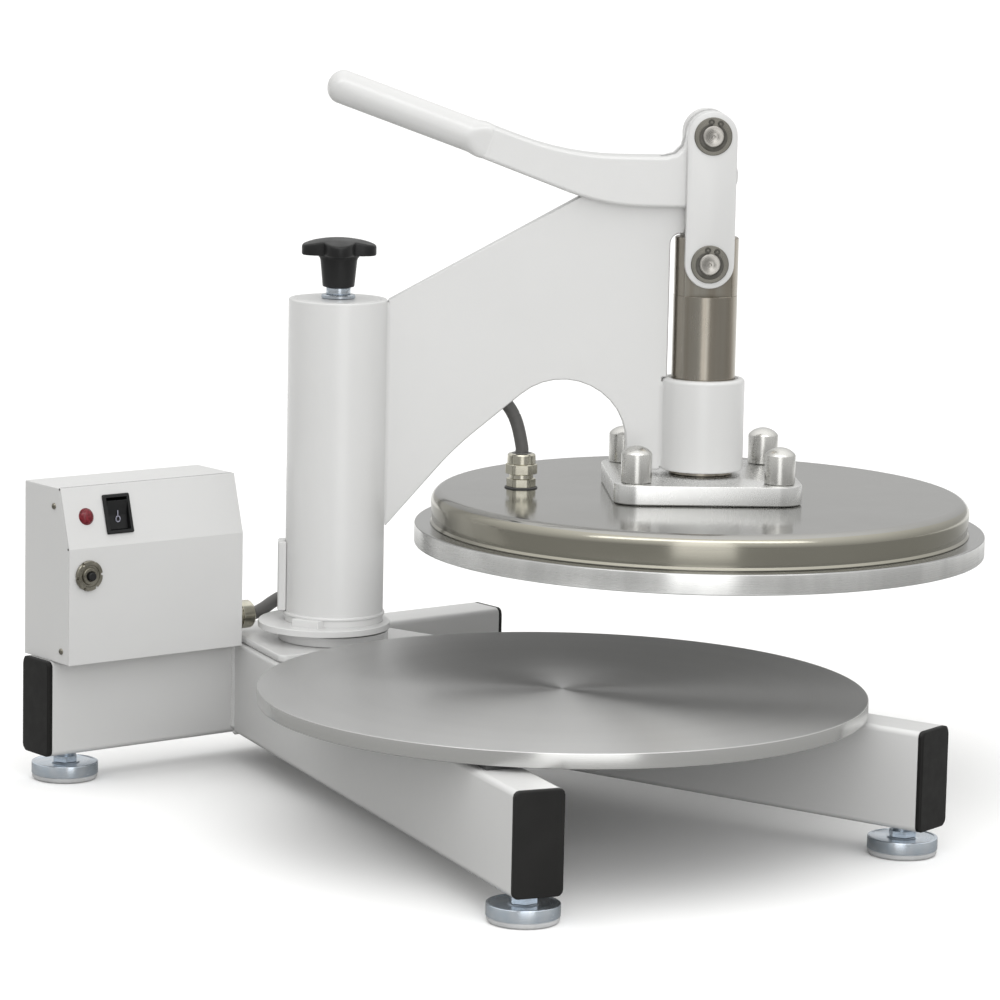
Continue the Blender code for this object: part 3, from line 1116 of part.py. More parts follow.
def build_handle(looks, axis):
    """Forked lever with its round grip and the crank pin."""
    outline = fork_outline()
    fork = place("handle_fork", loft([along_y(outline, -FORK_HALF), along_y(outline, FORK_HALF)]), looks["paint"], axis)
    chamfer(fork, FORK_EDGE, 2)
    slot_width = ARM_THICKNESS + 2 * FORK_SLOT_SIDE_GAP
    slot_length = FORK_SLOT_REACH + FORK_HUB_RADIUS + OVERRUN
    slot_height = 2 * (CRANK_RADIUS + LINK_HALF_WIDTH + OVERRUN)
    slot = place(
        "tool_fork_slot", block((slot_length, slot_width, slot_height), (slot_length / 2 - FORK_SLOT_REACH, 0, 0)),
        looks["paint"], axis)
    pocket_length = FORK_POCKET_REACH - FORK_SLOT_REACH + OVERRUN
    pocket_height = FORK_POCKET_TOP + FORK_UNDERSIDE + OVERRUN
    pocket = place(
        "tool_fork_pocket", block(
            (pocket_length, slot_width, pocket_height),
            (pocket_length / 2 - FORK_POCKET_REACH, 0, FORK_POCKET_TOP - pocket_height / 2)),
        looks["paint"], axis)
    for tool in (slot, pocket):
        combine(fork, tool, "DIFFERENCE")
    cross = (math.pi / 2, 0, 0)
    reach = FORK_HALF + OVERRUN
    pivot_bore = place(
        "tool_fork_pivot", cylinder(PIVOT_PIN_RADIUS + TOUCH_GAP, -reach, reach), looks["paint"], axis,
        (0, 0, 0), cross)
    crank_bore = place(
        "tool_fork_crank", cylinder(CRANK_PIN_RADIUS + TOUCH_GAP, -reach, reach, PIN_ROUND), looks["paint"], axis,
        (0, 0, CRANK_RADIUS), cross)
    joint = (-GRIP_JOINT_REACH, 0, GRIP_JOINT_RISE)
    grip_turn = (0, GRIP_ANGLE - math.pi / 2, 0)
    spigot_bore = place(
        "tool_fork_spigot", cylinder(GRIP_SPIGOT_RADIUS + TOUCH_GAP, -GRIP_SPIGOT_LENGTH - TOUCH_GAP, OVERRUN),
        looks["paint"], axis, joint, grip_turn)
    for tool in (pivot_bore, crank_bore, spigot_bore):
        combine(fork, tool, "DIFFERENCE")
    dome = [(GRIP_RADIUS * math.cos(a), GRIP_LENGTH + GRIP_DOME * math.sin(a))
            for a in (0, math.pi / 8, math.pi / 4, 3 * math.pi / 8)]
    grip = turned([
        (0, -GRIP_SPIGOT_LENGTH), (GRIP_SPIGOT_RADIUS, -GRIP_SPIGOT_LENGTH), (GRIP_SPIGOT_RADIUS, TOUCH_GAP),
        (GRIP_RADIUS, TOUCH_GAP), *dome, (0, GRIP_LENGTH + GRIP_DOME),
    ], SMALL_ROUND)
    place("handle_grip", grip, looks["paint"], axis, joint, grip_turn)
    place("crank_pin", turned(pin_profile(-PIN_END), PIN_ROUND), looks["steel"], axis, (0, 0, CRANK_RADIUS), cross)


def pin_half(start):
    """Outline of one pin end, outwards from a height inside the link, with its retaining ring."""
    ring_base = LINK_OUTER + TOUCH_GAP
    ring_top = ring_base + PIN_RING_THICKNESS
    return [
        (CRANK_PIN_RADIUS, start), (CRANK_PIN_RADIUS, ring_base), (PIN_RING_RADIUS, ring_base),
        (PIN_RING_RADIUS, ring_top), (CRANK_PIN_RADIUS, ring_top), (CRANK_PIN_RADIUS, PIN_END - PIN_CHAMFER),
        (CRANK_PIN_RADIUS - PIN_CHAMFER, PIN_END),
    ]


def pin_profile(bottom):
    """Full pin with a ring at each end."""
    upper = pin_half(0)[1:]
    lower = [(radius, -height) for radius, height in reversed(upper)]
    return [(0, bottom), *lower, *upper, (0, PIN_END)]


def build_links(looks, axis):
    """Two flat links; each carries its lower pin head, which stops just short of the plunger's pin."""
    outline = arc((0, 0), LINK_HALF_WIDTH, 0, math.pi, 2 * BEND_STEPS)
    outline += arc((0, -LINK_SPAN), LINK_HALF_WIDTH, math.pi, math.tau, 2 * BEND_STEPS)
    for side, name in ((-1, "front"), (1, "rear")):
        plate = loft([along_y(outline, side * LINK_INNER), along_y(outline, side * LINK_OUTER)])
        link = place(f"link_{name}", plate, looks["paint"], axis)
        chamfer(link, LINK_EDGE)
        turn = (side * -math.pi / 2, 0, 0)
        bore = place(
            f"tool_link_bore_{name}",
            cylinder(CRANK_PIN_RADIUS + TOUCH_GAP, LINK_INNER - OVERRUN, LINK_OUTER + OVERRUN, PIN_ROUND),
            looks["paint"], axis, (0, 0, 0), turn)
        combine(link, bore, "DIFFERENCE")
        middle = (LINK_INNER + LINK_OUTER) / 2
        half = pin_half(middle)
        head_outline = [
            (0, middle), half[0], (CRANK_PIN_RADIUS, LINK_OUTER + TOUCH_GAP), *half[2:], (0, PIN_END)]
        head = place(
            f"tool_link_head_{name}", turned(head_outline, PIN_ROUND), looks["steel"], axis,
            (0, 0, -LINK_SPAN), turn)
        combine(link, head, "UNION")


def build_plunger(looks, axis):
    """Round plunger with flats for the links, carrying the mounting plate and its posts."""
    edge = PLUNGER_CHAMFER
    body = turned([
        (0, PLUNGER_BASE), (PLUNGER_RADIUS, PLUNGER_BASE), (PLUNGER_RADIUS, PLUNGER_TOP - edge),
        (PLUNGER_RADIUS - edge, PLUNGER_TOP), (0, PLUNGER_TOP),
    ], MEDIUM_ROUND)
    plunger = place("plunger", body, looks["brushed"], axis)
    flat_height = PLUNGER_TOP + OVERRUN - PLUNGER_FLAT_START
    for side, name in ((-1, "front"), (1, "rear")):
        flat = block(
            (2 * (PLUNGER_RADIUS + OVERRUN), PLUNGER_RADIUS, flat_height),
            (0, side * (FORK_HALF + PLUNGER_RADIUS / 2), PLUNGER_FLAT_START + flat_height / 2))
        cutter = place(f"tool_flat_{name}", flat, looks["brushed"], axis)
        combine(plunger, cutter, "DIFFERENCE")
    cross = (math.pi / 2, 0, 0)
    pin_bore = place(
        "tool_plunger_pin_bore",
        cylinder(CRANK_PIN_RADIUS + TOUCH_GAP, -PLUNGER_RADIUS - OVERRUN, PLUNGER_RADIUS + OVERRUN, PIN_ROUND),
        looks["brushed"], axis, (0, 0, LOWER_PIN_HEIGHT), cross)
    combine(plunger, pin_bore, "DIFFERENCE")
    core = cylinder(CRANK_PIN_RADIUS, -FORK_HALF, FORK_HALF, PIN_ROUND)
    place("plunger_pin", core, looks["steel"], axis, (0, 0, LOWER_PIN_HEIGHT), cross)
    build_mount(looks, axis)


def build_mount(looks, axis):
    outline = rounded_rectangle(MOUNT_SIDE, MOUNT_SIDE, MOUNT_CORNER)
    plate = place(
        "mount_plate", loft([along_z(outline, MOUNT_BOTTOM), along_z(outline, MOUNT_TOP)]), looks["machined"], axis)
    chamfer(plate, MOUNT_EDGE)
    post_base = MOUNT_TOP + TOUCH_GAP
    crown_base = post_base + MOUNT_POST_HEIGHT - MOUNT_POST_CROWN
    crown = [
        (MOUNT_POST_RADIUS - MOUNT_POST_CROWN * (1 - math.cos(a)), crown_base + MOUNT_POST_CROWN * math.sin(a))
        for a in (0, math.pi / 6, math.pi / 3, math.pi / 2)]
    stud_base = UPPER_PLATEN_TOP + TOUCH_GAP
    profile = [
        (0, stud_base), (MOUNT_STUD_RADIUS, stud_base), (MOUNT_STUD_RADIUS, post_base),
        (MOUNT_POST_RADIUS, post_base), *crown, (0, post_base + MOUNT_POST_HEIGHT),
    ]
    pan = build_pan(looks, axis)
    heater_base = UPPER_PLATEN_TOP + TOUCH_GAP
    heater_top = PAN_TOP - PAN_SHEET - HEATER_TOP_SPACE
    heater = place("heater_pack", cylinder(HEATER_RADIUS, heater_base, heater_top, LARGE_ROUND), looks["wool"], axis)
    hole = MOUNT_STUD_RADIUS + TOUCH_GAP
    corners = {"front_left": (-1, -1), "front_right": (1, -1), "back_left": (-1, 1), "back_right": (1, 1)}
    for name, (u_side, y_side) in corners.items():
        spot = (u_side * MOUNT_POST_OFFSET, y_side * MOUNT_POST_OFFSET, 0)
        place(f"mount_post_{name}", turned(profile, SMALL_ROUND), looks["machined"], axis, spot)
        cutter = place(
            f"tool_stud_hole_{name}", cylinder(hole, UPPER_PLATEN_TOP - OVERRUN, post_base + OVERRUN),
            looks["machined"], axis, spot)
        combine(plate, cutter, "DIFFERENCE")
        combine(pan, cutter, "DIFFERENCE")
        combine(heater, cutter, "DIFFERENCE")
    gland_spot = (PLATEN_GLAND_REACH - PLATEN_REACH, PLATEN_GLAND_SIDE, PAN_TOP)
    neck_hole = place(
        "tool_pan_gland_hole", cylinder(GLAND_NECK_RADIUS + TOUCH_GAP, -OVERRUN, OVERRUN), looks["machined"],
        axis, gland_spot)
    combine(pan, neck_hole, "DIFFERENCE")


def build_pan(looks, axis):
    """Spun cover over the heated platen, open underneath."""
    base = UPPER_PLATEN_TOP + TOUCH_GAP
    inner_edge = PAN_EDGE_RADIUS - PAN_SHEET
    bend_radius = PAN_RADIUS - PAN_EDGE_RADIUS
    bend_height = PAN_TOP - PAN_EDGE_RADIUS
    outer = arc((bend_radius, bend_height), PAN_EDGE_RADIUS, 0, math.pi / 2, PAN_EDGE_STEPS)
    inner = arc((bend_radius, bend_height), inner_edge, math.pi / 2, 0, PAN_INNER_STEPS)
    profile = [(PAN_RADIUS, base), *outer, (0, PAN_TOP), (0, PAN_TOP - PAN_SHEET), *inner, (PAN_RADIUS - PAN_SHEET, base)]
    made = bmesh.new()
    rings = []
    for radius, height in profile:
        loop = circle(radius, LARGE_ROUND) if radius else [(0, 0)]
        rings.append([made.verts.new((x, y, height)) for x, y in loop])
    count = len(rings)
    for k in range(count):
        lower, upper = rings[k], rings[(k + 1) % count]
        if len(lower) == 1 and len(upper) == 1:
            continue
        for i in range(LARGE_ROUND):
            j = (i + 1) % LARGE_ROUND
            if len(upper) == 1:
                made.faces.new((lower[i], lower[j], upper[0]))
            elif len(lower) == 1:
                made.faces.new((lower[0], upper[j], upper[i]))
            else:
                made.faces.new((lower[i], lower[j], upper[j], upper[i]))
    return place("platen_pan", made, looks["brushed"], axis)


def build_upper_platen(looks, axis):
    edge = UPPER_PLATEN_CHAMFER
    profile = [
        (0, UPPER_PLATEN_BASE), (PLATEN_RADIUS - edge, UPPER_PLATEN_BASE),
        (PLATEN_RADIUS, UPPER_PLATEN_BASE + edge), (PLATEN_RADIUS, UPPER_PLATEN_TOP - edge),
        (PLATEN_RADIUS - edge, UPPER_PLATEN_TOP), (0, UPPER_PLATEN_TOP),
    ]
    place("upper_platen", turned(profile, LARGE_ROUND), looks["machined"], axis)


def build_platen_lead(looks, arm_axis, plunger_axis):
    spot = (PLATEN_GLAND_REACH - PLATEN_REACH, PLATEN_GLAND_SIDE, PAN_TOP)
    tip = gland("platen_gland", GLAND_NUT_LENGTH, True, looks, plunger_axis, spot, (0, 0, 0))
    inside = (COLUMN_RADIUS + COLUMN_BORE) / 2
    start = radial(PLATEN_LEAD_HOLE_ANGLE, inside, PLATEN_LEAD_HOLE_HEIGHT)
    gland_top = Vector((PLATEN_GLAND_REACH, PLATEN_GLAND_SIDE, PAN_TOP + tip + TOUCH_GAP))
    above = gland_top + Vector((0, 0, LEAD_RADIUS))
    run = gland_top.x - start[0]
    rise = start[2] - gland_top.z
    route = [(start[0] + run * a, PLATEN_GLAND_SIDE * b, gland_top.z + rise * c)
             for a, b, c in PLATEN_LEAD_ROUTE_SHARES]
    lead("platen_lead", (start, *route, above, gland_top), looks, arm_axis)


def stand_on_floor(root):
    """Move the part so that the middle of its base lies on the world origin."""
    bpy.context.view_layer.update()
    depsgraph = bpy.context.evaluated_depsgraph_get()
    corners = []
    for item in bpy.data.objects:
        if item.type == "MESH" and not item.hide_render:
            solid = item.evaluated_get(depsgraph)
            corners += [solid.matrix_world @ vertex.co for vertex in solid.data.vertices]
    low = [min(c[i] for c in corners) for i in range(3)]
    high = [max(c[i] for c in corners) for i in range(3)]
    root.location = (-(low[0] + high[0]) / 2, -(low[1] + high[1]) / 2, -low[2])
    bpy.context.view_layer.update()


def main():
    clear_scene()
    looks = build_looks()
    root = empty("press_root")
    swing_axis = empty("swing_axis", root, (0, 0, 0), (0, 0, ARM_REST_SWING))
    adjuster_axis = empty("adjuster_axis", swing_axis)
    plunger_axis = empty("plunger_axis", swing_axis, (PLATEN_REACH, 0, 0))
    handle_axis = empty("handle_axis", swing_axis, (PLATEN_REACH, 0, PIVOT_HEIGHT))
    link_axis = empty("link_axis", handle_axis, (0, 0, CRANK_RADIUS))
    build_frame(looks, root)
    build_base_plate(looks, root)
    build_post(looks, root)
    build_lower_platen(looks, root)
    build_box(looks, root)
    build_glands(looks, root)
    build_column(looks, swing_axis)
    build_adjuster(looks, adjuster_axis)
    build_arm(looks, swing_axis)
    build_handle(looks, handle_axis)
    build_links(looks, link_axis)
    build_plunger(looks, plunger_axis)
    build_upper_platen(looks, plunger_axis)
    build_platen_lead(looks, swing_axis, plunger_axis)
    stand_on_floor(root)


main()
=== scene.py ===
"""Looks of the swing-away dough press: finishes, fine parts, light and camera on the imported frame.

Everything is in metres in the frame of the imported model.  Places come from the model's nodes and
joints; the sizes below are those of the fine parts that only the looks have.
"""

import json
from math import atan2, copysign, cos, pi, radians, sin, sqrt, tau

import bmesh
import bpy
from mathutils import Matrix, Vector, noise

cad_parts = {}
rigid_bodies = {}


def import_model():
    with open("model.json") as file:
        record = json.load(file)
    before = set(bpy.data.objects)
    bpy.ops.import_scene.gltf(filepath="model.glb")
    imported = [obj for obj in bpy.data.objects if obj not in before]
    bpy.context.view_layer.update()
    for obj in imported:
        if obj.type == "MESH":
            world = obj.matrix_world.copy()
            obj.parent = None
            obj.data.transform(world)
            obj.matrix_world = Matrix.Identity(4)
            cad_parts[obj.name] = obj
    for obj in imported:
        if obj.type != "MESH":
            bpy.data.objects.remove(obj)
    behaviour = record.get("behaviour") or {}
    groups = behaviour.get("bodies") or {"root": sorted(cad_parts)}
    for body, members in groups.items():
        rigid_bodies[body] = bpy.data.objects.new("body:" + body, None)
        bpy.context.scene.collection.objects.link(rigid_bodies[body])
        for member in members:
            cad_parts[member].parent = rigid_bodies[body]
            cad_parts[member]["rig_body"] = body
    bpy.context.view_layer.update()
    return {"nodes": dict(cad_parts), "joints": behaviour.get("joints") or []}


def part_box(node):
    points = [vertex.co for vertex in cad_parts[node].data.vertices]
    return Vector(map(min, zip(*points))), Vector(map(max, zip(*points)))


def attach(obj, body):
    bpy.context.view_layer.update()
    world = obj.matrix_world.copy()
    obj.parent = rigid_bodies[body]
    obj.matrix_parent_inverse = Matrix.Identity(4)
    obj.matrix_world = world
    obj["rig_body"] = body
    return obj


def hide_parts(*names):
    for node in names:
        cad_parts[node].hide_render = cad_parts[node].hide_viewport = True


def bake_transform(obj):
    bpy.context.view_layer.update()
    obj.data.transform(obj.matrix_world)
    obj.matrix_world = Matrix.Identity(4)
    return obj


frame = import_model()

NODES = frame["nodes"]
JOINTS = {joint["name"]: joint for joint in frame["joints"]}
UP = Vector((0, 0, 1))
X_AXIS = Vector((1, 0, 0))
Y_AXIS = Vector((0, 1, 0))

# Camera
CAMERA_PLACE = Vector((-2.09530, -2.51364, 0.74255))
CAMERA_AHEAD = Vector((0.6129, 0.7751, -0.1542))
CAMERA_ROLL = radians(1.2)
CAMERA_LENS = 153.03
CAMERA_SENSOR = 36.0
VIEW = Vector((CAMERA_AHEAD.x, CAMERA_AHEAD.y, 0)).normalized()

# Arm frame: reach along the arm, side away from the camera, height
SWING_PLACE = Vector(JOINTS["arm_swing"]["pos_m"]) * Vector((1, 1, 0))
PIVOT_PLACE = Vector(JOINTS["handle_turn"]["pos_m"])
CRANK_PLACE = Vector(JOINTS["link_turn"]["pos_m"])
SIDE = Vector(JOINTS["handle_turn"]["axis"]).normalized()
AHEAD = SIDE.cross(UP)
REACH = (PIVOT_PLACE - SWING_PLACE).dot(AHEAD)
PRESS_PLACE = SWING_PLACE + AHEAD * REACH

# Sides of round pieces
DISC_ROUND = 256
KNOB_ROUND = 200
ROUND = 192
NUT_ROUND = 144
POST_ROUND = 96
RING_ROUND = 72
SMALL_ROUND = 64
SEAL_ROUND = 48
THREAD_ROUND = 40
TINY_ROUND = 24

# Largest angles in degrees between faces that shade as one
TURNED_ANGLE = 25
MILLED_ANGLE = 30
SMOOTH_ANGLE = 32
BAR_ANGLE = 40
FORMED_ANGLE = 50
BEAD_ANGLE = 60

# Edges
SHEET_ROUNDING = 0.0007
LINK_ROUNDING = 0.0012
METAL_ROUNDING = 0.0003
BEVEL_SEGMENTS = 3
FLAT_FACE_WEIGHT = 90
MERGE_DISTANCE = 1e-6
FLAT_ANGLE = radians(0.4)


def low(node):
    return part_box(node)[0]


def high(node):
    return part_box(node)[1]


def size(node):
    return high(node) - low(node)


def middle(node):
    return (low(node) + high(node)) / 2


def heights(node):
    return low(node).z, high(node).z


def radius_of(node):
    return min(size(node).x, size(node).y) / 2


def foot_of(node):
    """Middle of a node, on the floor."""
    return middle(node) * Vector((1, 1, 0))


# Node trees of the finishes

def tint(color, *shares):
    """Share of a colour, or a share for each of its channels."""
    return tuple(c * share for c, share in zip(color, shares * (3 // len(shares))))


class Finish:
    """A Principled material and the few node steps that the finishes share."""

    def __init__(self, name, color, roughness, metallic=0.0, **inputs):
        self.material = bpy.data.materials.new(name)
        self.material.use_nodes = True
        self.material.diffuse_color = (*color, 1)
        self.tree = self.material.node_tree
        self.shader = self.tree.nodes["Principled BSDF"]
        settings = {"Base Color": (*color, 1), "Roughness": roughness, "Metallic": metallic, **inputs}
        for key, value in settings.items():
            self.shader.inputs[key].default_value = value
        self.coordinates = self.add("ShaderNodeTexCoord").outputs["Object"]

    def add(self, kind, **settings):
        node = self.tree.nodes.new(kind)
        for key, value in settings.items():
            if key in node.inputs:
                node.inputs[key].default_value = value
            else:
                setattr(node, key, value)
        return node

    def link(self, source, target):
        self.tree.links.new(source, target)

    def scaled(self, scale):
        step = self.add("ShaderNodeVectorMath", operation="MULTIPLY")
        step.inputs[1].default_value = scale
        self.link(self.coordinates, step.inputs[0])
        return step.outputs[0]

    def noise(self, scale, detail=3.0, roughness=0.5, vector=None):
        step = self.add("ShaderNodeTexNoise", Scale=scale, Detail=detail, Roughness=roughness)
        self.link(vector or self.coordinates, step.inputs["Vector"])
        return step.outputs["Fac"]

    def ramp(self, value, stops):
        step = self.add("ShaderNodeValToRGB")
        elements = step.color_ramp.elements
        while len(elements) < len(stops):
            elements.new(0.5)
        for element, (position, color) in zip(elements, stops):
            element.position = position
            element.color = (*color, 1)
        self.link(value, step.inputs["Fac"])
        return step.outputs["Color"]

    def spread(self, value, lowest, highest, from_low=0.3, from_high=0.7):
        limits = {"From Min": from_low, "From Max": from_high, "To Min": lowest, "To Max": highest}
        step = self.add("ShaderNodeMapRange", **limits)
        self.link(value, step.inputs["Value"])
        return step.outputs["Result"]

    def mix(self, share, first, second):
        """Blend of two colours; the share is a number or a socket."""
        step = self.add("ShaderNodeMix", data_type="RGBA")
        if isinstance(share, float):
            step.inputs["Factor"].default_value = share
        else:
            self.link(share, step.inputs["Factor"])
        for socket, color in (("A", first), ("B", second)):
            target = next(s for s in step.inputs if s.name == socket and s.type == "RGBA")
            if isinstance(color, tuple):
                target.default_value = (*color, 1)
            else:
                self.link(color, target)
        return next(s for s in step.outputs if s.type == "RGBA")

    def fade(self, tone, color, value, amount, *limits):
        """Tone that turns toward a colour where a noise is high."""
        return self.mix(self.spread(value, 0.0, amount, *limits), tone, color)

    def rings(self, scale, detail, wobble=0.0):
        """Noise that only changes with the distance from the upright axis and the height."""
        join = self.add("ShaderNodeCombineXYZ")
        flat = self.scaled((1, 1, 0))
        step = self.add("ShaderNodeVectorMath", operation="LENGTH")
        self.link(flat, step.inputs[0])
        self.link(step.outputs["Value"], join.inputs["X"])
        height = self.add("ShaderNodeSeparateXYZ")
        self.link(self.coordinates, height.inputs[0])
        self.link(height.outputs["Z"], join.inputs["Y"])
        vector = join.outputs[0]
        if wobble:
            step = self.add("ShaderNodeVectorMath", operation="MULTIPLY_ADD")
            step.inputs[1].default_value = (wobble, wobble, wobble)
            self.link(self.coordinates, step.inputs[0])
            self.link(vector, step.inputs[2])
            vector = step.outputs[0]
        return self.noise(scale, detail, 0.6, vector)

    def color(self, source):
        self.link(source, self.shader.inputs["Base Color"])

    def relief(self, height, strength, distance):
        step = self.add("ShaderNodeBump", Strength=strength, Distance=distance)
        self.link(height, step.inputs["Height"])
        self.link(step.outputs["Normal"], self.shader.inputs["Normal"])
        return self.material

    def surface(self, gloss, lowest, highest, height, strength, distance, grain=0.0):
        """Roughness over one noise, relief over another, and highlights stretched across fine marks."""
        self.link(self.spread(gloss, lowest, highest), self.shader.inputs["Roughness"])
        self.relief(height, strength, distance)
        if grain:
            self.shader.inputs["Anisotropic"].default_value = grain
            self.shader.inputs["Anisotropic Rotation"].default_value = 0.25
            tangent = self.add("ShaderNodeTangent", direction_type="RADIAL", axis="Z")
            self.link(tangent.outputs[0], self.shader.inputs["Tangent"])
        return self.material


def powder_coat(name, color):
    made = Finish(name, color, 0.34, **{"Coat Weight": 0.35, "Coat Roughness": 0.16})
    cloud = made.noise(9, 4)
    fine = made.noise(70, 3)
    tone = made.ramp(cloud, [(0.30, tint(color, 0.975)), (0.70, color)])
    made.color(made.fade(tone, tint(color, 0.93), fine, 0.10))
    return made.surface(made.noise(160, 2), 0.30, 0.38, made.noise(520, 2, 0.4), 0.055, 0.0006)


def turned_aluminium(name, color, roughness, grain, pits_and_painted_streaks=0.0):
    made = Finish(name, color, roughness, 1.0)
    rings = made.rings(2600, 2)
    broad = made.rings(38, 3)
    cloud = made.noise(5, 3, 0.5)
    tone = made.fade(color, tint(color, 0.92), broad, 0.45)
    tone = made.fade(tone, tint(color, 0.86), cloud, 0.12)
    if pits_and_painted_streaks:
        tone = made.fade(tone, tint(color, 0.55), made.noise(900, 2), pits_and_painted_streaks, 0.62, 0.80)
        # Upright patches round the rim: painted reflection streaks; the fine dark spots above are pits.
        painted_reflection_streaks = made.noise(42, 2, 0.5, made.scaled((1, 1, 0.25)))
        tone = made.fade(tone, tint(color, 0.80), painted_reflection_streaks, 0.7, 0.40, 0.62)
    made.color(tone)
    gloss = made.mix(0.3, rings, cloud)
    return made.surface(gloss, roughness * 0.86, roughness * 1.16, rings, 0.10, 0.00012, grain)


def brushed_stainless(name, color, roughness, grain):
    made = Finish(name, color, roughness, 1.0)
    lines = made.rings(1500, 3, wobble=0.02)
    haze = made.noise(14, 5, 0.6)
    smear = made.noise(5, 3, 0.5)
    tone = made.fade(color, tint(color, 0.84), haze, 0.40)
    made.color(made.fade(tone, tint(color, 0.92, 0.90, 0.84), smear, 0.25))
    gloss = made.mix(0.55, lines, haze)
    return made.surface(gloss, roughness * 0.78, roughness * 1.30, lines, 0.07, 0.00010, grain)


def drawn_bar(name, color, roughness):
    """Round stock polished along its length: fine upright lines, and broad darker brownish upright bands that
    are painted reflection bands.
    """
    made = Finish(name, color, roughness, 1.0)
    # Broad upright bands darken the colour: painted reflection bands.
    painted_reflection_bands = made.noise(85, 3, 0.6, made.scaled((1, 1, 0.01)))
    fine = made.noise(600, 2, 0.5, made.scaled((1, 1, 0.02)))
    haze = made.noise(30, 4, 0.6)
    tone = made.fade(color, tint(color, 0.80, 0.75, 0.70), painted_reflection_bands, 0.9, 0.40, 0.62)
    made.color(made.fade(tone, tint(color, 0.85), fine, 0.25))
    return made.surface(made.mix(0.6, fine, haze), roughness * 0.85, roughness * 1.2, fine, 0.01, 0.00005)


def milled_aluminium(name, color, roughness):
    """Milled stock: faint passes of the cutter across it and a light haze."""
    made = Finish(name, color, roughness, 1.0)
    lines = made.noise(1400, 2, 0.5, made.scaled((1, 0.05, 0.3)))
    haze = made.noise(26, 5, 0.6)
    tone = made.fade(color, tint(color, 0.90), haze, 0.25)
    made.color(made.fade(tone, tint(color, 0.86), lines, 0.10))
    return made.surface(made.mix(0.7, lines, haze), roughness * 0.86, roughness * 1.16, lines, 0.008, 0.00010)


def turned_steel(name, color, roughness, dark):
    """Lathe-cut round stock, hazed toward a darker share of its colour."""
    made = Finish(name, color, roughness, 1.0)
    rings = made.rings(2200, 3)
    haze = made.noise(60, 4, 0.6)
    made.color(made.fade(color, tint(color, *dark), haze, 0.5))
    return made.surface(rings, roughness * 0.7, roughness * 1.3, rings, 0.16, 0.00012, 0.6)


def zinc_plate(name, light):
    made = Finish(name, (0.60, 0.66, 0.72), 0.24, 1.0)
    tones = ((0.25, (0.52, 0.61, 0.70)), (0.48, (0.68, 0.73, 0.79)), (0.62, (0.61, 0.68, 0.76)),
             (0.80, (0.72, 0.74, 0.74)))
    # The light share scales the plating's colour: lighter and darker copies of one zinc, painted light and
    # painted shade.
    made.color(made.ramp(made.noise(38, 3, 0.5), [(place, tint(color, light)) for place, color in tones]))
    rings = made.rings(1500, 2)
    return made.surface(made.mix(0.5, rings, made.noise(60, 3)), 0.18, 0.30, rings, 0.10, 0.0001, 0.5)


def plain_metal(name, color, roughness, tarnish):
    made = Finish(name, color, roughness, 1.0)
    made.color(made.ramp(made.noise(55, 4, 0.6), [(0.30, tarnish), (0.58, color)]))
    gloss = made.noise(120, 3)
    return made.surface(gloss, roughness * 0.8, roughness * 1.25, made.noise(700, 2), 0.06, 0.0002)


def moulded_plastic(name, color, roughness, grain_scale, grain_depth):
    made = Finish(name, color, roughness, **{"Specular IOR Level": 0.30})
    made.color(made.ramp(made.noise(40, 3), [(0.3, tint(color, 0.8)), (0.7, tint(color, 1.15))]))
    gloss, skin_grain = made.noise(90, 3), made.noise(grain_scale, 2, 0.5)
    return made.surface(gloss, roughness * 0.85, roughness * 1.15, skin_grain, grain_depth, 0.0003)


def rubber(name, color, roughness):
    made = Finish(name, color, roughness, **{"Sheen Weight": 0.08})
    dust = made.noise(55, 4, 0.6)
    made.color(made.fade(color, tuple(min(1, c * 1.9 + 0.02) for c in color), dust, 0.30))
    return made.surface(dust, roughness * 0.85, roughness * 1.12, made.noise(1100, 3), 0.12, 0.0003)


def mineral_wool(name):
    made = Finish(name, (0.70, 0.64, 0.50), 0.92, **{"Sheen Weight": 0.2})
    fibre = made.noise(420, 5, 0.7, made.scaled((1, 1, 3)))
    made.color(made.ramp(fibre, [(0.35, (0.52, 0.45, 0.33)), (0.65, (0.78, 0.72, 0.58))]))
    return made.relief(fibre, 0.8, 0.0015)


def red_lens(name):
    made = Finish(name, (0.16, 0.012, 0.020), 0.22,
                  **{"Coat Weight": 0.08, "Specular IOR Level": 0.30, "Coat Roughness": 0.05})
    facet = made.noise(420, 1)
    made.color(made.ramp(facet, [(0.35, (0.11, 0.008, 0.014)), (0.65, (0.20, 0.016, 0.026))]))
    return made.surface(facet, 0.16, 0.28, facet, 0.12, 0.0004)


def marking_paint(name):
    made = Finish(name, (0.30, 0.30, 0.37), 0.5)
    wear = made.noise(900, 3)
    made.color(made.ramp(wear, [(0.30, (0.22, 0.22, 0.28)), (0.60, (0.33, 0.33, 0.40))]))
    return made.relief(wear, 0.1, 0.0001)


PAINT = powder_coat("white_powder_coat", (0.685, 0.685, 0.681))
PLATEN = turned_aluminium("turned_platen_aluminium", (0.54, 0.54, 0.538), 0.34, 0.86)
# Lighter copies of the platen aluminium for the rims: painted light on the rims.
PLATEN_EDGE_PAINTED_LIGHT = turned_aluminium("turned_platen_edge_painted_light", (0.64, 0.64, 0.63), 0.24, 0.60)
PLATEN_RIM_PAINTED_LIGHT = turned_aluminium("cast_platen_rim_painted_light", (0.78, 0.78, 0.772), 0.28, 0.80, pits_and_painted_streaks=0.35)
BACK = turned_aluminium("turned_platen_back", (0.42, 0.42, 0.415), 0.24, 0.50)
# Dark grey underside of the upper platen, which darkens what the lower platen reflects of it.
DARK_PLATEN_UNDERSIDE = rubber("dark_grey_platen_underside", (0.33, 0.33, 0.325), 0.42)
PAN = brushed_stainless("spun_pan_top", (0.350, 0.348, 0.335), 0.15, 0.35)
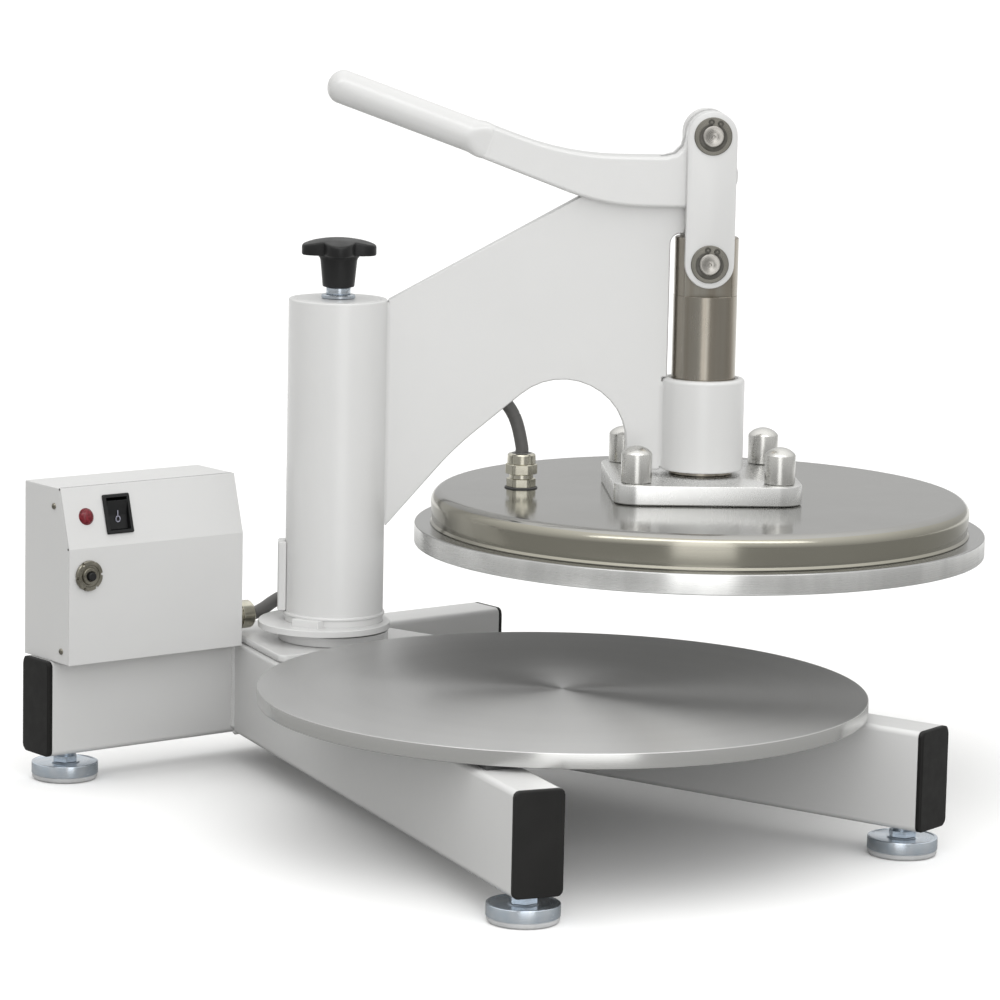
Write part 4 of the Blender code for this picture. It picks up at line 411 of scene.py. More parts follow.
# Olive tint on the pan's upright side: a painted reflection of warm surroundings.
PAN_SIDE_PAINTED_REFLECTION = brushed_stainless("spun_pan_side_painted_reflection", (0.350, 0.338, 0.290), 0.17, 0.3)
PLUNGER = drawn_bar("ground_plunger_stainless", (0.375, 0.352, 0.308), 0.25)
PLUNGER_FLAT = drawn_bar("milled_plunger_flat", (0.21, 0.20, 0.175), 0.32)
STOCK = milled_aluminium("milled_aluminium_stock", (0.69, 0.69, 0.68), 0.27)
POST_METAL = milled_aluminium("turned_aluminium_posts", (0.585, 0.58, 0.56), 0.27)
PIN_STEEL = turned_steel("turned_pin_steel", (0.42, 0.405, 0.38), 0.26, (0.85, 0.85, 0.84))
WASHER_STEEL = turned_steel("dark_washer_steel", (0.20, 0.192, 0.170), 0.30, (0.7, 0.7, 0.68))
BARE_STEEL = turned_steel("bare_bearing_steel", (0.42, 0.41, 0.39), 0.32, (0.5, 0.5, 0.5))
ZINC = zinc_plate("blue_zinc_plate", 1.0)
# Lighter copy for the foot pads: painted light. Darker copy for the knob's nut and shank: painted shade.
PAD_ZINC_PAINTED_LIGHT = zinc_plate("zinc_plate_painted_light", 1.06)
SHAFT_ZINC_PAINTED_SHADE = zinc_plate("zinc_plate_painted_shade", 0.72)
NICKEL = plain_metal("nickel_plated_brass", (0.58, 0.56, 0.48), 0.20, (0.46, 0.44, 0.36))
DARK_NICKEL = plain_metal("tarnished_nickel", (0.30, 0.285, 0.24), 0.28, (0.16, 0.15, 0.12))
BRONZE = plain_metal("bearing_bronze", (0.55, 0.36, 0.16), 0.38, (0.36, 0.22, 0.09))
SPRING_STEEL = plain_metal("blackened_spring_steel", (0.12, 0.115, 0.105), 0.34, (0.06, 0.058, 0.05))
CAP_PLASTIC = moulded_plastic("black_cap_plastic", (0.0095, 0.0092, 0.0088), 0.50, 1400, 0.14)
KNOB_PLASTIC = moulded_plastic("black_knob_plastic", (0.0125, 0.0125, 0.0128), 0.40, 900, 0.08)
SWITCH_PLASTIC = moulded_plastic("black_switch_plastic", (0.010, 0.0105, 0.011), 0.36, 2200, 0.06)
JACKET = rubber("grey_lead_jacket", (0.085, 0.083, 0.080), 0.52)
FOOT_PLASTIC = rubber("pale_foot_plastic", (0.50, 0.505, 0.51), 0.45)
# Dark rubber of the platen strips; the same dark finish is painted shade in the box seam, in the relief holes
# at the box's folds and round the foot of the platen gland.
DARK_RUBBER_AND_PAINTED_SHADE = rubber("dark_rubber_and_painted_shade", (0.035, 0.035, 0.035), 0.70)
WOOL = mineral_wool("heater_wool")
LENS = red_lens("red_lamp_lens")
MARKING = marking_paint("white_marking")


# Mesh tools

def body_of(node):
    return NODES[node]["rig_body"]


def put(name, data):
    made = bpy.data.objects.new(name, data)
    bpy.context.scene.collection.objects.link(made)
    return made


def add_object(name, mesh, look, body, matrix=None):
    """Object with a finish that rides a body."""
    made = put(name, mesh)
    mesh.materials.append(look)
    made.matrix_world = matrix or Matrix.Identity(4)
    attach(made, body)
    return made


def second_look(made, look, test):
    """Give one more finish to the faces that the test picks."""
    made.data.materials.append(look)
    for face in made.data.polygons:
        if test(face):
            face.material_index = len(made.data.materials) - 1


def finish_mesh(shape, name, smooth_angle):
    mesh = bpy.data.meshes.new(name)
    bmesh.ops.recalc_face_normals(shape, faces=shape.faces)
    shape.to_mesh(mesh)
    shape.free()
    mesh.shade_smooth()
    mesh.set_sharp_from_angle(angle=radians(smooth_angle))
    return mesh


def stand(place, axis=UP, ahead=None):
    """Matrix with its Z along the axis at the place."""
    z = Vector(axis).normalized()
    x = Vector(ahead) if ahead is not None else (X_AXIS if abs(z.x) < 0.9 else Y_AXIS)
    x = (x - z * x.dot(z)).normalized()
    y = z.cross(x)
    return Matrix.Translation(place) @ Matrix((x, y, z)).transposed().to_4x4()


def dress(node, look, rounding=0.0, axis=UP, smooth_angle=SMOOTH_ANGLE):
    """Smooth-shaded copy of a node with softened edges, which stands for the node."""
    matrix = stand(middle(node), axis)
    shape = bmesh.new()
    shape.from_mesh(NODES[node].data)
    bmesh.ops.remove_doubles(shape, verts=shape.verts, dist=MERGE_DISTANCE)
    bmesh.ops.dissolve_limit(shape, angle_limit=FLAT_ANGLE, verts=shape.verts, edges=shape.edges)
    bmesh.ops.transform(shape, matrix=matrix.inverted(), verts=shape.verts)
    mesh = finish_mesh(shape, f"{node}_skin", smooth_angle)
    made = add_object(f"{node}_skin", mesh, look, body_of(node), matrix)
    if rounding:
        step = made.modifiers.new("soft_edges", "BEVEL")
        step.width = rounding
        step.segments = BEVEL_SEGMENTS
        step.limit_method = "ANGLE"
        step.angle_limit = radians(smooth_angle)
        step.use_clamp_overlap = True
    flats = made.modifiers.new("flat_faces", "WEIGHTED_NORMAL")
    flats.keep_sharp = True
    flats.weight = FLAT_FACE_WEIGHT
    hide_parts(node)
    return made


def polar(radius, angle, height=0.0):
    return Vector((radius * cos(angle), radius * sin(angle), height))


def around(count):
    """Angles at equal steps round a full turn."""
    return [tau * i / count for i in range(count)]


def ring_of(radius, height, sides):
    return [polar(radius, angle, height) for angle in around(sides)]


def tip(height):
    """Loop with one point, which closes an end."""
    return [Vector((0, 0, height))]


def bridge(shape, lower, upper, shift=0):
    """Faces between two rings of vertices, of which one may be a tip."""
    count = max(len(lower), len(upper))
    if count == 1:
        return
    for i in range(count):
        j = (i + 1) % count
        if len(lower) == 1:
            shape.faces.new((lower[0], upper[j], upper[i]))
        elif len(upper) == 1:
            shape.faces.new((lower[i], lower[j], upper[0]))
        else:
            shape.faces.new((lower[i], lower[j], upper[(j + shift) % count], upper[(i + shift) % count]))


def skin(loops, closed=False, capped=False):
    """Skin a run of loops, and join its last loop to the first or cap both ends."""
    shape = bmesh.new()
    rings = [[shape.verts.new(p) for p in loop] for loop in loops]
    for lower, upper in zip(rings, rings[1:]):
        bridge(shape, lower, upper)
    if closed:
        first, last = rings[0], rings[-1]
        bridge(shape, last, first, min(range(len(first)), key=lambda k: (first[k].co - last[0].co).length))
    if capped:
        shape.faces.new(list(reversed(rings[0])))
        shape.faces.new(rings[-1])
    return shape


def shell(name, loops, look, body, matrix=None, smooth_angle=MILLED_ANGLE, replaces=(), **ends):
    """Piece skinned over loops, which stands for the nodes that it replaces."""
    made = add_object(name, finish_mesh(skin(loops, **ends), name, smooth_angle), look, body, matrix)
    if replaces:
        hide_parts(*replaces)
    return made


def lathe(name, profile, look, body, place, axis=UP, sides=ROUND, replaces=(), hollow=False,
          smooth_angle=SMOOTH_ANGLE):
    """Turn (radius, height) points about an axis through the place."""
    loops = [ring_of(r, h, sides) if r > 0 else tip(h) for r, h in profile]
    return shell(name, loops, look, body, stand(place, axis), smooth_angle, replaces, closed=hollow)


def rows(radius, level, points):
    """Profile points, given as insets from a radius and rises from a level."""
    return [(radius - inset, level + rise) for inset, rise in points]


def bend(center, radius, start, end, steps):
    angles = [radians(start + (end - start) * i / steps) for i in range(steps + 1)]
    return [(center[0] + radius * cos(a), center[1] + radius * sin(a)) for a in angles]


def round_top(radius, top, rounding, steps):
    """Rounded corner of a profile between its side and its top."""
    return bend((radius - rounding, top - rounding), rounding, 0, 90, steps)


def round_base(radius, base, rounding):
    """Underside of a profile and the rounded corner to its side."""
    return [(radius - rounding, base), *bend((radius - rounding, base + rounding), rounding, -90, 0, 4)]


def tube(name, points, radius, look, body, sides, closed=False):
    """Round tube along points; the radius is a number or a list with one for each point."""
    count = len(points)
    radii = radius if isinstance(radius, list) else [radius] * count
    loops = []
    for i, point in enumerate(points):
        before = points[i - 1] if i or closed else point
        after = points[(i + 1) % count] if i + 1 < count or closed else point
        along = (after - before).normalized()
        across = along.cross(UP) if abs(along.z) < 0.9 else along.cross(X_AXIS)
        across.normalize()
        lift = across.cross(along)
        loops.append([point + (across * cos(a) + lift * sin(a)) * radii[i] for a in around(sides)])
    return shell(name, loops, look, body, smooth_angle=BEAD_ANGLE, closed=closed, capped=not closed)


def arm_place(reach, side, height):
    return SWING_PLACE + AHEAD * reach + SIDE * side + UP * height


def smooth_route(points, per_span=8):
    """Catmull-Rom curve through the points."""
    chain = [2 * points[0] - points[1], *points, 2 * points[-1] - points[-2]]
    route = []
    for a, b, c, d in zip(chain, chain[1:], chain[2:], chain[3:]):
        for t in (i / per_span for i in range(per_span)):
            route.append(0.5 * (2 * b + (c - a) * t + (2 * a - 5 * b + 4 * c - d) * t ** 2
                                + (3 * b - a - 3 * c + d) * t ** 3))
    route.append(chain[-2])
    return route


# Welded frame

BEAD_RADIUS = 0.0030
BEAD_STEP = 0.0007
BEAD_RIPPLE = 0.0022
BEAD_WAVE = 0.04
BEAD_DRIFT = 0.10
BEAD_DRIFT_SCALE = 90
BEAD_SIDES = 14
LEG_INNER_OFFSET = 0.0149
LEG_OUTER_OFFSET = 0.0544
LEG_CORNER = 0.004


def weld(name, start, end, steps, radius):
    """Painted fillet bead with the faint ripple that shows through the coating."""
    points = [start.lerp(end, i / steps) for i in range(steps + 1)]
    radii = []
    for i, point in enumerate(points):
        ripple = BEAD_WAVE * sin(tau * i * BEAD_STEP / BEAD_RIPPLE)
        drift = BEAD_DRIFT * noise.noise(point * BEAD_DRIFT_SCALE)
        close = min(1, 0.35 + 0.25 * min(i, steps - i))
        radii.append(radius * (1 + ripple + drift) * close)
    tube(name, points, radii, PAINT, "base", BEAD_SIDES)


def build_frame():
    """Tubes and base plate with the welds where the legs meet the cross tube."""
    for node in ("cross_tube", "leg_left", "leg_right"):
        dress(node, PAINT)
    dress("base_plate", PAINT, smooth_angle=FORMED_ANGLE)
    for node in ("platen_strip_left", "platen_strip_right"):
        NODES[node].data.materials[0] = DARK_RUBBER_AND_PAINTED_SHADE
    for node in ("cap_cross_left", "cap_cross_right", "cap_leg_left", "cap_leg_right"):
        dress(node, CAP_PLASTIC, smooth_angle=FORMED_ANGLE)
    base, top = heights("cross_tube")
    face = low("cross_tube").y
    for side, name in ((-1, "left"), (1, "right")):
        inner, outer = (SWING_PLACE.x + side * offset for offset in (LEG_INNER_OFFSET, LEG_OUTER_OFFSET))
        for x, edge in ((inner, "inner"), (outer, "outer")):
            weld(f"weld_leg_{name}_{edge}", Vector((x, face, base + LEG_CORNER)),
                 Vector((x, face, top - LEG_CORNER)), 100, BEAD_RADIUS)
        weld(f"weld_leg_{name}_under", Vector((inner, face, base + 0.0008)),
             Vector((outer, face, base + 0.0008)), 60, BEAD_RADIUS * 0.8)


# Feet

THREAD_PITCH = 0.00125
THREAD_DEPTH = 0.00055
STEM_RADIUS = 0.00778
FOOT_BAND = 0.0042


def thread(name, place, radius, start, end, body):
    """Fine screw thread between two heights of a stem."""
    root = radius - THREAD_DEPTH
    turns = int((end - start) / THREAD_PITCH)
    profile = [(0, start), (root, start)]
    for i in range(turns):
        height = start + i * THREAD_PITCH
        profile += [(root, height + 0.1 * THREAD_PITCH), (radius, height + 0.45 * THREAD_PITCH),
                    (radius, height + 0.6 * THREAD_PITCH)]
    last = start + turns * THREAD_PITCH
    lathe(name, [*profile, (root, last), (0, last)], ZINC, body, place, sides=THREAD_ROUND)


def build_feet():
    """Pressed pads, each on a plastic band, and their threaded stems."""
    for name in ("cross_left", "cross_right", "leg_left", "leg_right"):
        body = f"foot_{name}"
        pad, stem = f"foot_pad_{name}", f"foot_stem_{name}"
        radius, top = size(pad).x / 2, high(pad).z
        lip = ((0.0060, 0.0006), (0.0054, 0), (0.0020, 0), (0.0009, 0.0011), (0.0005, 0.0022))
        dish = ((0.93, 0), (0.90, 0.0005), (0.46, 0.0008), (0.42, 0), (0, 0))
        profile = [
            (0, 0.0006), *rows(radius, 0, lip),
            *rows(radius, FOOT_BAND, ((0.0005, -0.0003), (0.0010, 0), (0.0004, 0.0002), (0, 0.0006))),
            *round_top(radius, top, 0.0006, 3), *[(radius * share, top - drop) for share, drop in dish],
        ]
        made = lathe(f"{pad}_pressed", profile, PAD_ZINC_PAINTED_LIGHT, body, foot_of(pad), sides=POST_ROUND,
                     replaces=(pad,), smooth_angle=TURNED_ANGLE)
        second_look(made, FOOT_PLASTIC, lambda face: face.center.z < FOOT_BAND + 0.0001)
        dress(stem, ZINC, 0.0004, smooth_angle=34)
        thread(f"{stem}_thread", foot_of(stem), STEM_RADIUS, top + 0.0050, low("cross_tube").z + 0.0005, body)


# Platens and pan

PAN_SHEET = 0.0015
PAN_EDGE = 0.0100
PAN_TAPER = 0.0011


def platen(node, look, rim_look_painted_light, under_look, body, place, edge):
    """Turned plate with softly broken edges; its rim takes a lighter copy of the aluminium as painted light,
    and its underside a finish of its own.
    """
    radius = radius_of(node)
    base, top = heights(node)
    profile = [(0, base), *round_base(radius, base, edge), *round_top(radius, top, edge, 4),
               (radius * 0.985, top), (radius * 0.5, top), (0, top)]
    made = lathe(f"{node}_turned", profile, look, body, place, sides=DISC_ROUND, replaces=(node,))
    second_look(made, rim_look_painted_light, lambda face: face.normal.z < 0.5)
    second_look(made, under_look, lambda face: face.normal.z < -0.5)


def build_platens():
    """Both platens, and the spun pan with its heater pack over the upper one."""
    platen("lower_platen", PLATEN, PLATEN_EDGE_PAINTED_LIGHT, PLATEN, "base", foot_of("lower_platen"), 0.0008)
    platen("upper_platen", BACK, PLATEN_RIM_PAINTED_LIGHT, DARK_PLATEN_UNDERSIDE, "press", PRESS_PLACE, 0.0012)
    radius = radius_of("platen_pan")
    base, top = heights("platen_pan")
    wall = radius - 0.0004
    outer = [
        (radius - PAN_SHEET, base), *rows(radius, base, ((0, 0), (0, 0.0006), (0.0005, 0.0012))),
        (wall - PAN_TAPER, base + 0.0024), *round_top(wall, top, PAN_EDGE, 12), (radius * 0.6, top), (0, top),
    ]
    inner = [
        (0, top - PAN_SHEET), (radius * 0.6, top - PAN_SHEET),
        *bend((wall - PAN_EDGE, top - PAN_EDGE), PAN_EDGE - PAN_SHEET, 90, 0, 8),
        (wall - PAN_TAPER - PAN_SHEET, base + 0.0024),
    ]
    made = lathe("pan_spun", outer + inner, PAN, "press", PRESS_PLACE, sides=DISC_ROUND,
                 replaces=("platen_pan",), hollow=True)
    # Upright faces of the pan take the olive painted reflection.
    second_look(made, PAN_SIDE_PAINTED_REFLECTION, lambda face: abs(face.normal.z) < 0.75)
    NODES["heater_pack"].data.materials[0] = WOOL


# Mounting plate and posts

MOUNT_HALF = 0.0750
MOUNT_CORNER = 0.020
MOUNT_ROUNDING = 0.0012
POST_CROWN = 0.0058
POST_SCREW_RADIUS = 0.006


def rounded_square(half, corner, height):
    loop = []
    for quarter, (x, y) in enumerate(((1, 1), (-1, 1), (-1, -1), (1, -1))):
        center = ((half - corner) * x, (half - corner) * y)
        loop += [Vector((a, b, height)) for a, b in bend(center, corner, 90 * quarter, 90 * quarter + 90, 12)]
    return loop


def build_mount():
    """Square plate on the pan, and its four domed posts."""
    base, top = heights("mount_plate")
    e = MOUNT_ROUNDING
    levels = [(e, base), (0, base + e), (0, top - e), (e * 0.3, top - e * 0.3), (e, top)]
    loops = [rounded_square(MOUNT_HALF - inset, MOUNT_CORNER - inset, height) for inset, height in levels]
    shell("mount_plate_milled", [tip(base), *loops, tip(top)], STOCK, "press", stand(PRESS_PLACE, UP, AHEAD),
          replaces=("mount_plate",))
    foot = top + 0.0003
    for name in ("front_left", "front_right", "back_left", "back_right"):
        node = f"mount_post_{name}"
        radius, (base, top) = radius_of(node), heights(node)
        ball = (radius ** 2 + POST_CROWN ** 2) / (2 * POST_CROWN)
        dome = [(r, top - ball + sqrt(ball ** 2 - r ** 2))
                for r in (radius * (1 - k / 12) for k in range(1, 12))]
        profile = [
            (0, base), (POST_SCREW_RADIUS, base), (POST_SCREW_RADIUS, foot),
            *rows(radius, foot, ((0.0006, 0), (0, 0.0006))),
            *rows(radius, top - POST_CROWN, ((0, -0.0006), (0.0003, 0))), *dome, (0, top),
        ]
        lathe(f"{node}_turned", profile, POST_METAL, "press", foot_of(node), sides=POST_ROUND, replaces=(node,))


# Column, sleeve and plunger

COLUMN_RADIUS = 0.0393
COLUMN_TOP_ROUND = 0.0016
COLUMN_FILLET = 0.0034
ARM_HALF = 0.00635
SLEEVE_RADIUS = 0.0334
SLEEVE_BORE = 0.0281
SLEEVE_FILLET = 0.0046
FILLET_STEPS = 60
FILLET_ARC_STEPS = 8
FILLET_DRIFT = 0.10
FILLET_ROOT = 0.0006
FLANGE_BEAD_RADIUS = 0.0015
FLANGE_BEAD_DRIFT = 0.08
FLANGE_BEAD_POINTS = 240
BUSH_INNER = 0.0257
BUSH_OUTER = 0.0279
PLUNGER_RADIUS = 0.0254
FLAT_HALF = 0.0170
SHOULDER_DROP = 0.02645


def fillet(name, reach, toward, radius, leg, side, start, end):
    """Welded and ground corner between the arm plate and a round body, hollow in section."""
    sections = []
    t = ARM_HALF
    inner = sqrt(radius ** 2 - t ** 2)
    for i in range(FILLET_STEPS + 1):
        share = i / FILLET_STEPS
        height = start + (end - start) * share
        f = leg * (1 + FILLET_DRIFT * noise.noise(Vector((reach * 9, side * 3, height * 60))))
        f *= min(1, 0.45 + 9 * min(share, 1 - share))
        center = Vector((sqrt((radius + f) ** 2 - (t + f) ** 2), t + f))
        sweep = atan2(center.y, center.x) - pi / 2
        arc = [center + f * Vector((cos(a), sin(a))) for a in
               (-pi / 2 + sweep * k / FILLET_ARC_STEPS for k in range(FILLET_ARC_STEPS + 1))]
        section = [*arc, arc[-1] * (1 - 2 * FILLET_ROOT / radius), Vector((inner - 0.0010, t - FILLET_ROOT)),
                   Vector((arc[0].x, t - FILLET_ROOT))]
        sections.append([arm_place(reach + toward * q.x, side * q.y, height) for q in section])
    shell(name, sections, PAINT, "arm", smooth_angle=BEAD_ANGLE, capped=True)


def build_column():
    """Column with its grooved top, post and bush, and the welds that hold the flange and the arm."""
    radius = COLUMN_RADIUS
    base, top = low("column").z, high("column_cap").z
    profile = [
        *rows(radius, base, ((0.005, 0), (0.0006, 0), (0, 0.0006))),
        *round_top(radius, top, COLUMN_TOP_ROUND, 5),
        *rows(radius, top, ((0.0048, 0), (0.0054, -0.0004), (0.0062, -0.0004), (0.0066, 0))),
        (0.0095, top), (0.0093, top - 0.006), (radius - 0.005, top - 0.0062),
    ]
    lathe("column_welded", profile, PAINT, "arm", SWING_PLACE, replaces=("column", "column_cap"), hollow=True)
    dress("column_flange", PAINT, smooth_angle=FORMED_ANGLE)
    dress("column_cover", PAINT, smooth_angle=FORMED_ANGLE)
    dress("swing_bush", BRONZE)
    post = dress("post", BARE_STEEL, METAL_ROUNDING)
    flange = low("column_flange").z
    second_look(post, PAINT, lambda face: (post.matrix_world @ face.center).z < flange)
    route = [SWING_PLACE + point
             for point in ring_of(radius, high("column_flange").z + 0.0003, FLANGE_BEAD_POINTS)]
    radii = [FLANGE_BEAD_RADIUS * (1 + FLANGE_BEAD_DRIFT * noise.noise(p * 120)) for p in route]
    tube("weld_column_flange", route, radii, PAINT, "arm", 12, closed=True)
    for side, name in ((-1, "front"), (1, "back")):
        fillet(f"weld_column_arm_{name}", 0, 1, radius, COLUMN_FILLET, side,
               low("arm_plate").z + 0.0015, top - 0.0020)
        fillet(f"weld_sleeve_arm_{name}", REACH, -1, SLEEVE_RADIUS, SLEEVE_FILLET, side,
               low("press_sleeve").z + 0.0022, high("press_sleeve").z - 0.0030)


def build_sleeve():
    base, top = heights("press_sleeve")
    profile = [(SLEEVE_BORE, base), *round_base(SLEEVE_RADIUS, base, 0.0020),
               *round_top(SLEEVE_RADIUS, top, 0.0030, 6), (SLEEVE_BORE, top)]
    lathe("sleeve_turned", profile, PAINT, "arm", PRESS_PLACE, replaces=("press_sleeve",), hollow=True)
    profile = [(BUSH_INNER, base), (BUSH_OUTER, base), (BUSH_OUTER, top - 0.0003), (BUSH_OUTER - 0.0004, top),
               (BUSH_INNER + 0.0005, top), (BUSH_INNER, top - 0.0005)]
    lathe("guide_bush_turned", profile, BARE_STEEL, "arm", PRESS_PLACE, replaces=("guide_bush",), hollow=True)


def build_plunger():
    """Ground round bar with two milled flats, built in the arm's own directions."""
    radius = PLUNGER_RADIUS
    base, top = heights("plunger")
    shoulder = middle("plunger_pin").z - SHOULDER_DROP

    def flattened(inset, height):
        return [Vector((p.x, max(-FLAT_HALF, min(FLAT_HALF, p.y)), p.z))
                for p in ring_of(radius - inset, height, ROUND)]

    round_levels = [(0.0004, base), (0, base + 0.0004), (0, shoulder - 0.0003), (0.0003, shoulder)]
    loops = [
        tip(base), *[ring_of(radius - inset, height, ROUND) for inset, height in round_levels],
        flattened(0.0001, shoulder + 0.00005), flattened(0, top - 0.0010), flattened(0.0010, top), tip(top),
    ]
    made = shell("plunger_ground", loops, PLUNGER, "press", stand(PRESS_PLACE, UP, AHEAD), TURNED_ANGLE,
                 ("plunger",))
    second_look(made, PLUNGER_FLAT,
                lambda face: face.center.z > shoulder - 0.0002 and abs(face.normal.y) > 0.999)
    dress("plunger_pin", BARE_STEEL, axis=SIDE)


# Arm and handle

GRIP_ANGLE = radians(19.6)
GRIP_RADIUS = 0.01335
GRIP_LENGTH = 0.1320
GRIP_DOME = 0.0118
GRIP_JOINT_REACH = 0.178
GRIP_JOINT_RISE = 0.0236
COLLAR_START = -0.0060
COLLAR_END = 0.0165
COLLAR_HALF_THICKNESS = 0.0171
COLLAR_BULGE = 0.0009
COLLAR_STEPS = 18
COLLAR_POWER = 7
BAR_POWER = 2


def build_arm():
    dress("arm_plate", PAINT, smooth_angle=FORMED_ANGLE)
    dress("pivot_pin", BARE_STEEL, METAL_ROUNDING, axis=SIDE)
    dress("handle_fork", PAINT, smooth_angle=BAR_ANGLE)


def grip_section(height, half_width, half_height, power=BAR_POWER):
    """Loop that is an ellipse for a power of 2 and nears a rectangle for higher ones."""
    loop = []
    for angle in around(POST_ROUND):
        c, d = cos(angle), sin(angle)
        loop.append(Vector((half_width * copysign(abs(c) ** (2 / power), c),
                            half_height * copysign(abs(d) ** (2 / power), d), height)))
    return loop


def build_grip():
    """Round bar with a full domed end, whose root swells to the flat sides of the fork."""
    r = GRIP_RADIUS
    loops = [tip(COLLAR_START)]
    for share in (i / COLLAR_STEPS for i in range(COLLAR_STEPS + 1)):
        ease = share * share * (3 - 2 * share)
        bulge = COLLAR_BULGE * sin(pi * min(1, share * 1.25)) ** 2
        loops.append(grip_section(COLLAR_START + (COLLAR_END - COLLAR_START) * share,
                                  COLLAR_HALF_THICKNESS + (r - COLLAR_HALF_THICKNESS) * ease,
                                  r + bulge, COLLAR_POWER - (COLLAR_POWER - BAR_POWER) * ease))
    body_end = GRIP_LENGTH - GRIP_DOME
    loops += [grip_section(COLLAR_END + (body_end - COLLAR_END) * i / 8, r, r) for i in range(1, 9)]
    for angle in (radians(9) * k for k in range(1, 10)):
        radius = r * cos(angle)
        loops.append(grip_section(body_end + GRIP_DOME * sin(angle), radius, radius))
    loops.append(tip(GRIP_LENGTH))
    ahead = (-AHEAD * cos(GRIP_ANGLE) + UP * sin(GRIP_ANGLE)).normalized()
    matrix = stand(PIVOT_PLACE - AHEAD * GRIP_JOINT_REACH + UP * GRIP_JOINT_RISE, ahead, SIDE)
    shell("handle_grip_bar", [[matrix @ point for point in loop] for loop in loops], PAINT, "handle",
          smooth_angle=FORMED_ANGLE, replaces=("handle_grip",))


# Links and their pins

PIN_RADIUS = 0.0125
PIN_TIP_RADIUS = 0.0084
PIN_END = 0.0289
WASHER_BASE = 0.0255
WASHER_RADIUS = 0.0150
WASHER_TOP = 0.0267
RING_THICKNESS = 0.0012
RING_OUTER = 0.0118
RING_NARROW = 0.0016
RING_TURN = radians(80)
RING_GAP = radians(16)
LUG_TURN = radians(3)
LUG_PLACE = 0.0114
LINK_SPAN = 0.101
LINK_HALF = 0.0195
LINK_INNER = 0.0173
LINK_OUTER = 0.0253
PIN_HEAD_START = LINK_INNER + 0.002


def pin_face(start):
    """Pin shoulder and its thinner tip with a centre mark, from inside the link outwards."""
    r, end = PIN_TIP_RADIUS, PIN_END
    return [
        (PIN_RADIUS, start), (PIN_RADIUS, WASHER_BASE - 0.0001), (r, WASHER_BASE), (r, end - 0.0008),
        (r - 0.0008, end), (0.0042, end), (0.0036, end - 0.0003), (0.0014, end - 0.0004),
        (0.0011, end - 0.0012), (0, end - 0.0016),
    ]


def snap_ring(name, place, outward, body):
    """Dark washer and an open retaining ring with two drilled lugs in the pin's groove."""
    r, e = PIN_TIP_RADIUS + 0.0001, 0.00025
    washer = [(r, WASHER_BASE), (WASHER_RADIUS - e, WASHER_BASE), (WASHER_RADIUS, WASHER_BASE + e),
              (WASHER_RADIUS, WASHER_TOP - 2 * e), (WASHER_RADIUS - 2 * e, WASHER_TOP), (r, WASHER_TOP)]
    lathe(f"{name}_washer", washer, WASHER_STEEL, body, place, outward, RING_ROUND, hollow=True)
    sections = []
    top = WASHER_TOP + RING_THICKNESS
    narrow = PIN_TIP_RADIUS + RING_NARROW
    for i in range(RING_ROUND + 1):
        angle = RING_TURN + RING_GAP + (tau - 2 * RING_GAP) * i / RING_ROUND
        outer = narrow + (RING_OUTER - narrow) * (0.5 + 0.5 * sin(angle - RING_TURN - pi / 2))
        section = [(r, WASHER_TOP + e), (r + e, WASHER_TOP), (outer - e, WASHER_TOP), (outer, WASHER_TOP + e),
                   (outer, top - e), (outer - e, top), (r + e, top), (r, top - e)]
        sections.append([polar(x, angle, h) for x, h in section])
    matrix = stand(place, outward, UP.cross(outward))
    shell(name, sections, SPRING_STEEL, body, matrix, BAR_ANGLE, capped=True)
    for side, word in ((-1, "left"), (1, "right")):
        spot = matrix @ polar(LUG_PLACE, RING_TURN + side * (RING_GAP + LUG_TURN), WASHER_TOP)
        lug = [(0.0009, RING_THICKNESS), (0.0009, 0), (0.0022, 0), (0.0024, e), (0.0024, RING_THICKNESS - e),
               (0.0022, RING_THICKNESS)]
        lathe(f"{name}_lug_{word}", lug, SPRING_STEEL, body, spot, outward, TINY_ROUND, hollow=True)


def link_loop(half, side):
    """Outline of a link with its two round ends, at a distance to the side."""
    return [Vector((half * cos(a), side, drop + half * sin(a)))
            for turn, drop in ((0, 0), (pi, -LINK_SPAN))
            for a in (turn + pi * i / 24 for i in range(25))]


def build_links():
    """Links between the crank and plunger pins, with washers and retaining rings on their faces."""
    face = pin_face(0)
    lathe("crank_pin_turned", [(r, -h) for r, h in reversed(face[1:])] + face, PIN_STEEL, "handle",
          CRANK_PLACE, SIDE, SMALL_ROUND, ("crank_pin",))
    lower = CRANK_PLACE - UP * LINK_SPAN
    e = LINK_ROUNDING
    for sign, name in ((-1, "front"), (1, "rear")):
        outward = SIDE * sign
        levels = [(LINK_HALF - e * 0.3, LINK_INNER), (LINK_HALF, LINK_INNER + e * 0.4),
                  *rows(LINK_HALF, LINK_OUTER, ((0, -e), (e * 0.3, -e * 0.3), (e, 0)))]
        shell(f"link_{name}_bar", [link_loop(half, sign * depth) for half, depth in levels], PAINT, "links",
              stand(CRANK_PLACE, UP, AHEAD), BAR_ANGLE, (f"link_{name}",), capped=True)
        lathe(f"link_{name}_pin_head", [(0, PIN_HEAD_START), *pin_face(PIN_HEAD_START)], PIN_STEEL, "links",
              lower, outward, SMALL_ROUND)
        snap_ring(f"snap_ring_upper_{name}", CRANK_PLACE, outward, "handle")
        snap_ring(f"snap_ring_lower_{name}", lower, outward, "links")


# Adjusting knob

KNOB_LOBES = 5
KNOB_TURN = radians(90)
KNOB_VALLEY = 0.0215
KNOB_REACH = 0.0306
KNOB_HUB = 0.0147
KNOB_WING_RISE = 0.0258
KNOB_CROWN = 0.0052
KNOB_LOBE_POWER = 0.7


